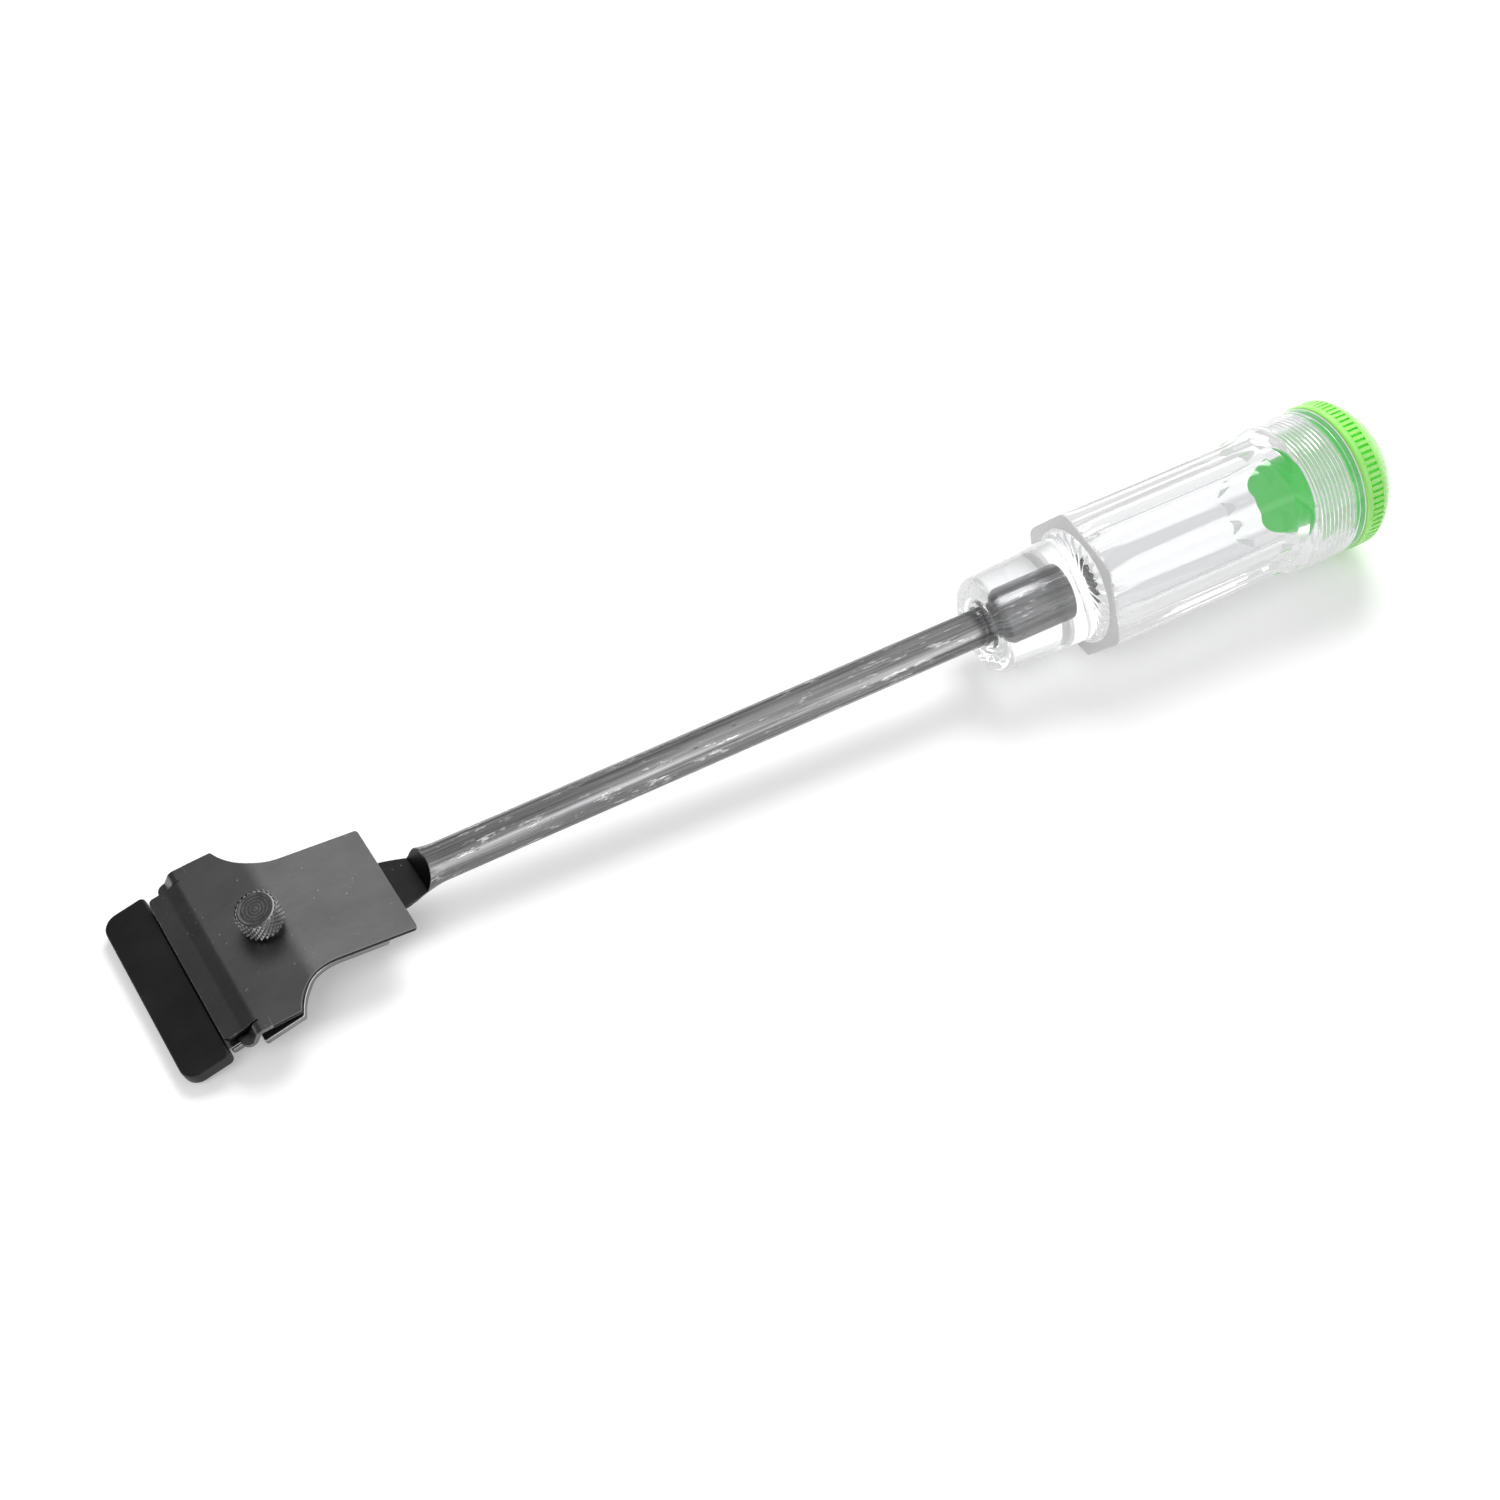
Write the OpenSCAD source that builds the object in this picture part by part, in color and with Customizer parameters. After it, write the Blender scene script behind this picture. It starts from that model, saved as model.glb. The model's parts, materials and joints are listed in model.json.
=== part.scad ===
// Hand scraper for single-edge razor blades: hollow six-sided handle, steel shaft, clamp plates, blade guard.
// All lengths are millimetres. The shaft runs along X with the head at -X, and the clamp plates face +Z.

/* [Handle] */
// Length of the round neck in front of the grip.
neck_length = 23.7; // [15:0.1:35]
// Radius of the neck at its front rim.
neck_front_r = 10.5; // [8:0.1:12]
// Radius of the neck where it meets the shoulder.
neck_rear_r = 11.7; // [9:0.1:13]
// Rounding of the neck's front rim.
neck_round = 1.8; // [0.5:0.1:3]
// Radius of the neck's flared foot at the shoulder.
neck_foot_r = 13; // [11:0.1:14]
// Length of the flared foot.
neck_foot = 2.5; // [0.5:0.1:5]
// Distance from the axis to the middle of a flat of the grip.
flat_r = 15; // [13:0.1:16]
// Number of flats on the grip.
flat_count = 6; // [4:1:10]
// Turn of the first corner from +Y towards +Z.
corner_turn = 7; // [0:1:60]
// X position of the handle's mouth, measured from the neck's front rim.
mouth_x = 91.7; // [70:0.1:110]
// Radius of the grip's round corners and of the collar at the mouth.
collar_r = 16.7; // [14:0.1:20]
// Length of the collar's straight part.
collar_length = 14.3; // [6:0.1:20]
// Length of the slope from a flat up to the collar.
collar_cone = 5.5; // [2:0.1:12]
// Radius of the storage cavity.
cavity_r = 10.5; // [8:0.1:13]
// X position of the cavity's closed end.
cavity_start_x = 28; // [24:0.1:40]
// Radius of the threaded mouth.
thread_r = 11.3; // [9:0.1:14]
// Length of the threaded mouth.
thread_length = 12.9; // [5:0.1:15]

/* [End cap] */
// Overhang of the cap past the collar.
cap_over = 0.2; // [0:0.05:1]
// Length of the cap's straight rim.
cap_rim = 4.4; // [3:0.1:9]
// Height of the domed end over the rim.
cap_dome = 7.4; // [3:0.1:12]
// Wall thickness of the cap.
cap_wall = 1.8; // [1:0.1:3]
// Number of grip slots around the rim.
cap_slots = 72; // [0:4:90]
// Width of a grip slot.
slot_width = 0.7; // [0.3:0.05:1.2]
// Length of a grip slot.
slot_length = 2.6; // [1:0.1:4]
// Depth of a grip slot.
slot_depth = 0.4; // [0.2:0.05:0.8]
// Thickness of the plug's flange inside the cap.
flange_thick = 1.6; // [1:0.1:3]
// Radius of the plug's inner boss.
boss_r = 8.6; // [6:0.1:11]
// Length of the plug's inner boss.
boss_length = 2.6; // [1:0.1:20]
// Wall thickness of the plug.
plug_wall = 1.6; // [1:0.1:3]

/* [Shaft] */
// Radius of the shaft.
shaft_r = 3.97; // [3:0.01:6]
// X position of the shaft's front end, where the tang starts.
shaft_front_x = -131; // [-160:0.5:-60]
// Depth of the shaft in the neck.
shaft_depth = 20; // [12:0.5:26]
// Half width of the tang at its rear and front.
tang_half = [4.5, 6.1]; // [3:0.1:8]
// Thickness of the tang.
tang_thick = 2.9; // [2:0.1:4]
// Radius of the two rivets.
rivet_r = 1.6; // [1:0.1:2.5]
// Radius of the rivets' flush heads.
rivet_head_r = 2.5; // [1.5:0.1:3.5]
// Depth of the rivets' flush heads.
rivet_head_depth = 0.8; // [0.3:0.1:1.2]

/* [Clamp plates] */
// X position of the knee where both plates bend towards the edge.
knee_x = -159.7; // [-180:0.1:-100]
// Height of the lower plate's top at the knee, over the shaft's axis.
knee_z = 2.95; // [0:0.05:6]
// Pitch of the plates behind the knee, rising towards the head.
rear_pitch = 5; // [0:0.5:12]
// Pitch of the lower plate in front of the knee, falling towards the edge.
front_pitch = 16; // [0:0.5:30]
// Thickness of the lower plate.
lower_thick = 1.45; // [1:0.05:2.5]
// Thickness of the upper plate.
upper_thick = 1; // [0.8:0.05:2]
// Gap between the plates behind the knee.
plate_gap = 0.05; // [0.02:0.01:0.3]
// Bend radius of the lower plate's knee.
knee_bend_r = 1.2; // [0.5:0.1:3]
// Bend radius of the joggles.
joggle_bend_r = 0.6; // [0.3:0.1:1]
// Half width of the lower plate behind the waist.
lower_rear_half = 13.3; // [10:0.1:18]
// Half width of the upper plate behind the waist.
upper_rear_half = 13.6; // [10:0.1:18]
// Overhang of the ears past the guard's ends.
ear_over = 0.4; // [0:0.05:2]
// Set-back of the upper plate's lip from the blade's ends.
lip_back = 0.55; // [0:0.05:2]
// Radius of the waist in front of the straight sides.
waist_r = 11.5; // [6:0.1:15]

/* [Thumb screw] */
// Distance of the screw's axis in front of the knee.
screw_s = 2; // [0:0.1:6]
// Radius of the knurled head.
screw_head_r = 4.25; // [3:0.05:6]
// Height of the knurled head.
screw_head_height = 5; // [3:0.1:9]
// Radius of the threaded stud.
stud_r = 2.5; // [2:0.1:4]
// Chamfer of the head's rims.
screw_chamfer = 0.4; // [0.1:0.1:1]
// Radius of the nut's flange.
nut_flange_r = 4.2; // [3:0.1:6]
// Thickness of the nut's flange.
nut_flange = 2.6; // [1:0.1:4]
// Radius of the nut's neck in the lower plate.
nut_neck_r = 3.3; // [2.8:0.1:5]

/* [Blade] */
// Length of the blade's cutting edge.
blade_length = 38.1; // [30:0.1:60]
// Width of the blade from the spine's back to the edge.
blade_width = 19.05; // [15:0.05:25]
// Thickness of the blade.
blade_thick = 0.25; // [0.2:0.01:0.6]
// Distance of the cutting edge in front of the knee.
edge_s = 27.4; // [20:0.1:40]
// Width of the bevel at the cutting edge.
bevel_width = 1; // [0.5:0.1:2]
// Width of the folded spine.
spine_width = 4.25; // [2:0.05:6]
// Thickness of the folded spine.
spine_thick = 1.1; // [0.7:0.05:1.6]
// Gap between the spine and the lower plate.
spine_gap = 0.05; // [0.02:0.01:0.3]

/* [Guard] */
// Wall of the guard past each end of the blade.
guard_side = 1.95; // [1:0.05:4]
// Distance of the guard's front in front of the knee.
guard_front_s = 29; // [28:0.1:36]
// Distance of the guard's rear in front of the knee.
guard_rear_s = 19.45; // [18:0.05:24]
// Thickness of the guard.
guard_thick = 3; // [2:0.1:5]
// Rounding of the guard's front corners.
guard_front_round = 3.2; // [1:0.1:5]
// Rounding of the guard's rear corners.
guard_rear_round = 1; // [0.3:0.1:3]
// Clearance of the slot over and under the blade.
guard_clear = 0.05; // [0.02:0.01:0.3]

/* [Hidden] */
$fn = 64;
EPS = 0.01;
BIG = 60;

BEND_STEPS = 5;

// Overall position: the origin is under the middle of the whole tool, at the height of the cap's lowest point.
guard_mid_h = spine_gap + spine_thick / 2;
guard_low_h = guard_mid_h - guard_thick / 2;
front_x = knee_x - guard_front_s * cos(front_pitch) - (guard_mid_h + guard_thick / 2) * sin(front_pitch);
rear_x = mouth_x + cap_rim + cap_dome;
mid_x = (front_x + rear_x) / 2;

// Grip.
collar_x = mouth_x - collar_length;
cone_x = collar_x - collar_cone;
shaft_bore_r = shaft_r + 0.02;

// Cap.
cap_r = collar_r + cap_over;
cap_sphere_r = (cap_r * cap_r + cap_dome * cap_dome) / (2 * cap_dome);
cap_inner_r = cap_r - cap_wall;
slot_x = mouth_x + 1.4;
plug_clear = 0.08;

// Widths of the head, from the blade's length.
blade_half = blade_length / 2;
guard_half = blade_half + guard_side;
ear_half = guard_half + ear_over;
lip_half = blade_half - lip_back;

// Plates. Rear run of the lower plate, from its rear edge to the knee.
lower_rear_x = -141.5;
upper_rear_x = -137.2;
knee_turn = rear_pitch + front_pitch;
knee_chord = knee_bend_r * tan(knee_turn / 2 / BEND_STEPS);
knee_trim = (knee_bend_r + lower_thick) * tan(knee_turn / 2) - knee_chord;
lower_run = (lower_rear_x - knee_x) / cos(rear_pitch);
upper_run = (upper_rear_x - knee_x) / cos(rear_pitch);
upper_pitch = 5;
lower_front_s = 19.2;
lip_front_x = -178.84;
lip_rear_x = -172.6;
main_run = 12.5;
joggle_down = 50;
joggle_run = 0.75;
lip_pitch = 13.3;
tab_down = 60;
tab_run = 1.5;
tab_inner_y = lip_half + 0.8;
tab_round = 1.8;
ear_front_x = -170.2;
tab_front_x = -176.3;
plate_corner = 1.5;
knee_lead = 0.4;
lug_x = -172.3;
notch_x = -175.8;
notch_half = lip_half - 0.2;

// Thumb screw. The head's rim meets the upper plate in front of the axis.
upper_rise = front_pitch - upper_pitch;
head_low_h = plate_gap + upper_thick + (screw_s + screw_head_r) * tan(upper_rise) + 0.12;
stud_end_h = -lower_thick - nut_flange - 1.5;
stud_clear = 0.05;
nut_relief = 0.1;
upper_hole_r = stud_r + 0.6;

// Tang.
rivet_front_u = 11;
rivet_rear_u = 4;
tang_front_u = 14.6;
tang_rear_u = (shaft_front_x - lower_rear_x) / cos(rear_pitch);
run_out_slope = 0.4;
run_out_height = BIG / 4;

// Blade.
blade_mid_h = spine_gap + spine_thick / 2;
blade_back_s = edge_s - blade_width;
edge_half = 0.01;
spine_wall = (spine_thick - blade_thick) / 2;

STEEL_DARK = [0.16, 0.16, 0.17];
STEEL_GREY = [0.42, 0.42, 0.43];
STEEL_BRIGHT = [0.7, 0.7, 0.72];
CLEAR = [0.9, 0.93, 0.95, 0.35];
GREEN = [0.48, 0.93, 0.22];
BLACK = [0.06, 0.06, 0.06];

// Puts the tool's own axes, with the neck's front rim at zero, into the shared frame.
module placed() {
    translate([-mid_x, 0, cap_r]) children();
}

// Turns children drawn along +Z so that they run along +X.
module along_x() {
    rotate([0, 90, 0]) children();
}

// Frame in front of the knee: children's +X runs down the front slope to the edge, +Z is its outward normal.
module front_frame() {
    translate([knee_x, 0, knee_z]) rotate([0, -front_pitch, 0]) mirror([1, 0, 0]) children();
}

// Frame behind the knee: children's +X runs up the slope to the head, from the lower plate's rear top edge.
module rear_frame() {
    translate([knee_x, 0, knee_z]) rotate([0, rear_pitch, 0]) mirror([1, 0, 0])
        translate([-lower_run, 0, 0]) children();
}

// Extrudes a side view, drawn with its X forwards and its Y upwards, over the full width of the head.
module side_extrude(half) {
    rotate([90, 0, 0]) linear_extrude(height = 2 * half, center = true) children();
}

// Segments [length, heading] of a bent strip's lower line. Each run is [length, turn after it], up is positive.
function bent_segments(runs, thick, bend_r, heading = 0, i = 0) =
    i >= len(runs) ? [] :
        let (turn = runs[i][1], r = turn > 0 ? bend_r + thick : bend_r)
            concat(
                [[runs[i][0], heading]],
                [
                    if (turn != 0) for (k = [1 : BEND_STEPS - 1])
                        [2 * r * tan(abs(turn) / 2 / BEND_STEPS), heading + turn * k / BEND_STEPS]
                ],
                bent_segments(runs, thick, bend_r, heading + turn, i + 1)
            );

// Points along those segments.
function bent_points(segments, at = [0, 0], i = 0) =
    i >= len(segments) ? [at] : concat(
        [at],
        bent_points(segments, at + segments[i][0] * [cos(segments[i][1]), sin(segments[i][1])], i + 1)
    );

// Those points moved sideways by off, with mitred corners.
function bent_side(segments, off) =
    let (points = bent_points(segments), last = len(segments) - 1)
        [
            for (i = [0 : last + 1])
                let (a = segments[max(i - 1, 0)][1], b = segments[min(i, last)][1], mid = (a + b) / 2)
                    points[i] + off / cos((b - a) / 2) * [-sin(mid), cos(mid)]
        ];

// A bent strip seen from the side, with its lower rear corner at the origin.
module bent_strip(runs, thick, bend_r) {
    segments = bent_segments(runs, thick, bend_r);
    upper = bent_side(segments, thick);
    lower = bent_side(segments, 0);
    count = len(upper);
    polygon(concat(upper, [for (i = [1 : count]) lower[count - i]]));
}

module handle_profile() {
    polygon([
        [0, 0], [neck_front_r - neck_round, 0], [neck_front_r, neck_round],
        [neck_rear_r, neck_length - neck_foot], [neck_foot_r, neck_length], [collar_r, neck_length],
        [collar_r, mouth_x], [0, mouth_x]
    ]);
    translate([neck_front_r - neck_round, neck_round]) circle(r = neck_round);
}

module handle() {
    color(CLEAR) placed() difference() {
        along_x() rotate_extrude() intersection() {
            handle_profile();
            square([BIG, 2 * BIG]);
        }
        for (i = [0 : flat_count - 1]) rotate([corner_turn + (i + 0.5) * 360 / flat_count, 0, 0]) grip_flat();
        translate([-EPS, 0, 0]) along_x() cylinder(r = shaft_bore_r, h = shaft_depth + 2 * EPS);
        translate([cavity_start_x, 0, 0]) along_x() cylinder(r = cavity_r, h = mouth_x - cavity_start_x + 1);
        translate([mouth_x - thread_length, 0, 0]) along_x() cylinder(r = thread_r, h = thread_length + 1);
    }
}

// The room over one flat of the grip, which faces +Y and slopes up to the collar.
module grip_flat() {
    linear_extrude(height = 2 * collar_r, center = true) polygon([
        [neck_length - 1, flat_r], [cone_x, flat_r], [collar_x, collar_r + 0.5], [collar_x, BIG],
        [neck_length - 1, BIG]
    ]);
}

module cap_shell() {
    color(GREEN) placed() difference() {
        translate([mouth_x, 0, 0]) along_x() rotate_extrude() difference() {
            cap_outline();
            translate([-EPS, -EPS]) square([cap_inner_r + EPS, flange_thick + EPS]);
            intersection() {
                translate([0, cap_rim + cap_dome - cap_sphere_r]) circle(r = cap_sphere_r - cap_wall);
                translate([-EPS, flange_thick - EPS]) square([cap_inner_r - 3 + EPS, BIG]);
            }
        }
        if (cap_slots > 0) for (i = [0 : cap_slots - 1])
            rotate([i * 360 / cap_slots, 0, 0])
                translate([slot_x, cap_r - slot_depth, -slot_width / 2])
                    cube([slot_length, slot_depth + 1, slot_width]);
    }
}

// Half section of the cap's outside: a straight rim under a domed end.
module cap_outline() {
    square([cap_r, cap_rim]);
    intersection() {
        translate([0, cap_rim + cap_dome - cap_sphere_r]) circle(r = cap_sphere_r);
        translate([0, cap_rim]) square([cap_r, cap_dome + 1]);
    }
}

module cap_plug() {
    plug_thread_r = thread_r - plug_clear;
    color(GREEN) placed() difference() {
        union() {
            translate([mouth_x, 0, 0]) along_x() cylinder(r = cap_inner_r - plug_clear, h = flange_thick);
            translate([mouth_x - thread_length + 0.2, 0, 0]) along_x()
                cylinder(r = plug_thread_r, h = thread_length);
            translate([mouth_x - thread_length - boss_length, 0, 0]) along_x()
                cylinder(r = boss_r, h = boss_length + 1);
        }
        translate([mouth_x - thread_length - boss_length + plug_wall, 0, 0]) along_x()
            cylinder(r = boss_r - plug_wall, h = BIG);
    }
}

module shaft() {
    color(STEEL_GREY) placed() difference() {
        union() {
            translate([shaft_front_x - 0.5, 0, 0]) along_x()
                cylinder(r = shaft_r, h = shaft_depth + 0.5 - shaft_front_x);
            tang_blank();
        }
        tang_clearing();
        tang_rivet_holes();
    }
}

// The flat end of the shaft under the lower plate, widening towards the head.
module tang_blank() {
    rear_frame() translate([0, 0, -lower_thick - tang_thick])
        linear_extrude(height = tang_thick + 1) tang_plan();
}

// The room over the tang's flat, with the steep run-out up to the top of the round shaft.
module tang_clearing() {
    rear_frame() side_extrude(BIG) polygon([
        [-tang_rear_u, -lower_thick], [BIG, -lower_thick], [BIG, run_out_height],
        [-tang_rear_u - run_out_slope * run_out_height, run_out_height]
    ]);
}

module tang_plan() {
    flare_u = -tang_rear_u + 6;
    polygon([
        [-tang_rear_u, -tang_half[0] + 1], [flare_u, -tang_half[1]], [tang_front_u - 2, -tang_half[1]],
        [tang_front_u, -tang_half[1] + 2], [tang_front_u, tang_half[1] - 2], [tang_front_u - 2, tang_half[1]],
        [flare_u, tang_half[1]], [-tang_rear_u, tang_half[0] - 1]
    ]);
}

module tang_rivet_holes() {
    for (u = [rivet_front_u, rivet_rear_u]) {
        rivet_at(u, 0.02);
        rear_frame() translate([u, 0, -lower_thick - tang_thick - 1]) cylinder(r = rivet_head_r + 0.02, h = 1);
        rear_frame() translate([u, 0, 0]) cylinder(r = rivet_head_r + 0.02, h = 1);
    }
}

// A rivet with a flush head at each end, grown by clear for its hole.
module rivet_at(u, clear) {
    low = -lower_thick - tang_thick;
    rear_frame() translate([u, 0, low]) rotate_extrude() polygon([
        [0, 0], [rivet_head_r + clear, 0], [rivet_r + clear, rivet_head_depth],
        [rivet_r + clear, -low - rivet_head_depth], [rivet_head_r + clear, -low], [0, -low]
    ]);
}

module tang_rivet_front() {
    color(STEEL_DARK) placed() rivet_at(rivet_front_u, 0);
}

module tang_rivet_rear() {
    color(STEEL_DARK) placed() rivet_at(rivet_rear_u, 0);
}

// Plan view of a plate's rear part, waist and ears, in the tool's own axes.
module ear_plan(rear_x, rear_half, waist_x, ear_x) {
    difference() {
        translate([ear_x, -ear_half]) square([rear_x - ear_x, 2 * ear_half]);
        for (side = [-1, 1]) {
            translate([waist_x, side * (rear_half + waist_r)]) circle(r = waist_r);
            translate([waist_x, side * (rear_half + BIG / 2) - BIG / 2]) square([BIG, BIG]);
        }
    }
}

// Plan view of the lower plate: a narrow notch each side ahead of the ears, then nearly the blade's length.
module lower_plan() {
    difference() {
        ear_plan(lower_rear_x + EPS, lower_rear_half, -153, lug_x);
        for (side = [-1, 1]) translate([lower_rear_x, side * lower_rear_half]) rotate(45)
            square([2 * plate_corner, 2 * plate_corner], center = true);
    }
    translate([notch_x, -notch_half]) square([lug_x - notch_x + EPS, 2 * notch_half]);
    translate([notch_x - BIG + EPS, -blade_half]) square([BIG, blade_length]);
}

module lower_plate() {
    color(STEEL_DARK) placed() difference() {
        intersection() {
            lower_bent();
            translate([0, 0, -BIG]) linear_extrude(height = 2 * BIG) lower_plan();
        }
        tang_rivet_holes();
        front_frame() translate([screw_s, 0, -BIG / 2]) cylinder(r = nut_neck_r + 0.02, h = BIG);
    }
}

// The lower plate's bent sheet at full width.
module lower_bent() {
    rear_frame() translate([0, 0, -lower_thick]) side_extrude(ear_half + 1) bent_strip(
        [[lower_run - knee_trim, -knee_turn], [lower_front_s - knee_trim, 0]], lower_thick, knee_bend_r
    );
}

// The upper plate's bent sheet at full width. It drops to its lip, or to its tabs, by a joggle.
module upper_bent(drop_angle, drop_run, rise_angle) {
    rear_frame() translate([lower_run - upper_run, 0, plate_gap]) side_extrude(ear_half + 1) bent_strip(
        [
            [upper_run - knee_lead, -rear_pitch - upper_pitch], [main_run + knee_lead, -drop_angle],
            [drop_run, rise_angle], [BIG / 4, 0]
        ],
        upper_thick, joggle_bend_r
    );
}

module upper_plan() {
    ear_plan(upper_rear_x + EPS, upper_rear_half, -153.5, ear_front_x);
    translate([lip_rear_x, -tab_inner_y + 0.3])
        square([ear_front_x - lip_rear_x + EPS, 2 * tab_inner_y - 0.6]);
    translate([lip_front_x, -lip_half]) square([lip_rear_x - lip_front_x + EPS, 2 * lip_half]);
}

module tab_plan() {
    for (side = [0, 1]) mirror([0, side]) intersection() {
        translate([tab_front_x, tab_inner_y])
            square([ear_front_x - tab_front_x, ear_half - tab_inner_y]);
        translate([tab_front_x + tab_round, ear_half - tab_round]) union() {
            circle(r = tab_round);
            translate([0, -BIG]) square([BIG, BIG + tab_round]);
            translate([-BIG, -BIG]) square([BIG, BIG]);
        }
    }
}

module upper_plate() {
    color(STEEL_DARK) placed() difference() {
        union() {
            intersection() {
                upper_bent(joggle_down, joggle_run, joggle_down + upper_pitch - lip_pitch);
                translate([0, 0, -BIG]) linear_extrude(height = 2 * BIG) upper_plan();
            }
            intersection() {
                upper_bent(tab_down, tab_run, tab_down + upper_pitch - lip_pitch);
                translate([0, 0, -BIG]) linear_extrude(height = 2 * BIG) tab_plan();
            }
        }
        front_frame() translate([screw_s, 0, -BIG / 2]) cylinder(r = upper_hole_r, h = BIG);
    }
}

module thumb_screw() {
    color(STEEL_GREY) placed() front_frame() translate([screw_s, 0, 0]) {
        translate([0, 0, head_low_h]) rotate_extrude() polygon([
            [0, 0], [screw_head_r - screw_chamfer, 0], [screw_head_r, screw_chamfer],
            [screw_head_r, screw_head_height - screw_chamfer],
            [screw_head_r - screw_chamfer, screw_head_height], [0, screw_head_height]
        ]);
        translate([0, 0, stud_end_h]) cylinder(r = stud_r, h = head_low_h - stud_end_h + 1);
    }
}

// Everything above a plane that lies down under the rear run of the lower plate's top.
module over_rear_plane(down) {
    rear_frame() translate([-BIG, -BIG, -down]) cube([3 * BIG, 2 * BIG, BIG]);
}

module clamp_nut() {
    color(STEEL_GREY) placed() difference() {
        union() {
            difference() {
                front_frame() translate([screw_s, 0, -lower_thick])
                    cylinder(r = nut_neck_r, h = lower_thick - plate_gap);
                over_rear_plane(plate_gap);
            }
            difference() {
                front_frame() translate([screw_s, 0, -lower_thick - nut_flange])
                    cylinder(r = nut_flange_r, h = nut_flange);
                over_rear_plane(lower_thick + nut_relief);
            }
        }
        front_frame() translate([screw_s, 0, -BIG / 2]) cylinder(r = stud_r + stud_clear, h = BIG);
    }
}

module blade() {
    half = blade_thick / 2;
    color(STEEL_BRIGHT) placed() front_frame() translate([0, 0, blade_mid_h]) side_extrude(blade_half)
        polygon([
            [blade_back_s + spine_wall, -half], [edge_s - bevel_width, -half], [edge_s, -edge_half],
            [edge_s, edge_half], [edge_s - bevel_width, half], [blade_back_s + spine_wall, half]
        ]);
}

module blade_spine() {
    half = blade_thick / 2;
    color(STEEL_GREY) placed() front_frame() translate([0, 0, blade_mid_h]) side_extrude(blade_half)
        difference() {
            union() {
                translate([blade_back_s + spine_thick / 2, 0]) circle(r = spine_thick / 2);
                translate([blade_back_s + spine_thick / 2, -spine_thick / 2])
                    square([spine_width - spine_thick / 2, spine_thick]);
            }
            translate([blade_back_s + spine_wall, -half]) square([BIG, blade_thick]);
        }
}

module guard_plan() {
    s0 = guard_rear_s;
    s1 = guard_front_s;
    r0 = guard_rear_round;
    r1 = guard_front_round;
    translate([s0 + r0, -guard_half]) square([s1 - r1 - s0 - r0, 2 * guard_half]);
    translate([s0, -guard_half + r0]) square([r0 + 1, 2 * (guard_half - r0)]);
    translate([s1 - r1 - 1, -guard_half + r1]) square([r1 + 1, 2 * (guard_half - r1)]);
    for (side = [-1, 1]) {
        translate([s0 + r0, side * (guard_half - r0)]) circle(r = r0);
        translate([s1 - r1, side * (guard_half - r1)]) circle(r = r1);
    }
}

module blade_guard() {
    slot_half = blade_thick / 2 + guard_clear;
    slot_side = 2 * guard_clear;
    color(BLACK) placed() front_frame() difference() {
        translate([0, 0, guard_low_h]) linear_extrude(height = guard_thick) guard_plan();
        translate([guard_rear_s - 1, -blade_half - slot_side, blade_mid_h - slot_half])
            cube([edge_s + slot_side - guard_rear_s + 1, 2 * (blade_half + slot_side), 2 * slot_half]);
    }
}

handle();
cap_shell();
cap_plug();
shaft();
tang_rivet_front();
tang_rivet_rear();
lower_plate();
upper_plate();
thumb_screw();
clamp_nut();
blade();
blade_spine();
blade_guard();
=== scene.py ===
"""Looks of a hand scraper for single-edge razor blades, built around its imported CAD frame."""

import json
import logging
import math
from dataclasses import dataclass
from enum import Enum
from typing import Callable, Sequence

import bmesh
import bpy
from mathutils import Matrix, Vector, geometry

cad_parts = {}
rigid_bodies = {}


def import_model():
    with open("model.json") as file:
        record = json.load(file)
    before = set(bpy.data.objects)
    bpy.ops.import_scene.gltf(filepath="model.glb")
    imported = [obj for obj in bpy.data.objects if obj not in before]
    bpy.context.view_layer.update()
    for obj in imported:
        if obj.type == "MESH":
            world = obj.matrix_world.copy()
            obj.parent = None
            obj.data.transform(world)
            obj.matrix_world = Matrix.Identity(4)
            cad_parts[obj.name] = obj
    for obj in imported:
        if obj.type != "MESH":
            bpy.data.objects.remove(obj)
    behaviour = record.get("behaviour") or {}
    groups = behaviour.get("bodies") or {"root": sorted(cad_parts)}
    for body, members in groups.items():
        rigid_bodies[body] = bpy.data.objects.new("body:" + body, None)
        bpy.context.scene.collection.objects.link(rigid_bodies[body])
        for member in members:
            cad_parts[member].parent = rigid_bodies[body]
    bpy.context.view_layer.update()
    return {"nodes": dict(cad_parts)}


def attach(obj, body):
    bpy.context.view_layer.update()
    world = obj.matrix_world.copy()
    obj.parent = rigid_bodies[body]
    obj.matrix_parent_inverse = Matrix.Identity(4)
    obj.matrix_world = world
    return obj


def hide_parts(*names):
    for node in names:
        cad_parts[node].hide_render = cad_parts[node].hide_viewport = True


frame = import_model()

log = logging.getLogger("scraper")
logging.basicConfig(level=logging.INFO, format="%(name)s: %(message)s")

Point = tuple[float, float, float]
Flat = tuple[float, float]
Span = tuple[float, float]
# A straight run of a sheet: its length, the turn after it in degrees, the bend's inner radius.
Run = tuple[float, float, float]
Colour = tuple[float, float, float]
Socket = bpy.types.NodeSocket
Material = bpy.types.Material

MM = 0.001
TAU = 2 * math.pi
# The tool's own axes start at the neck's front rim, on the shaft's axis. This moves them into the frame.
SHIFT = Vector((42.32771, 0.0, 16.9))

# Most values of a noise lie in this range.
NOISE_LOW, NOISE_HIGH = 0.3, 0.7
# Inputs of a Map Range node: from low, from high, to low, to high.
RANGE_INPUTS = (1, 2, 3, 4)
# Colour inputs and output of a Mix node.
MIX_FIRST, MIX_SECOND, MIX_RESULT = 6, 7, 2
# Phase of a Wave texture of scale 1, in radians a metre.
WAVE_PHASE = 20


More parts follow.
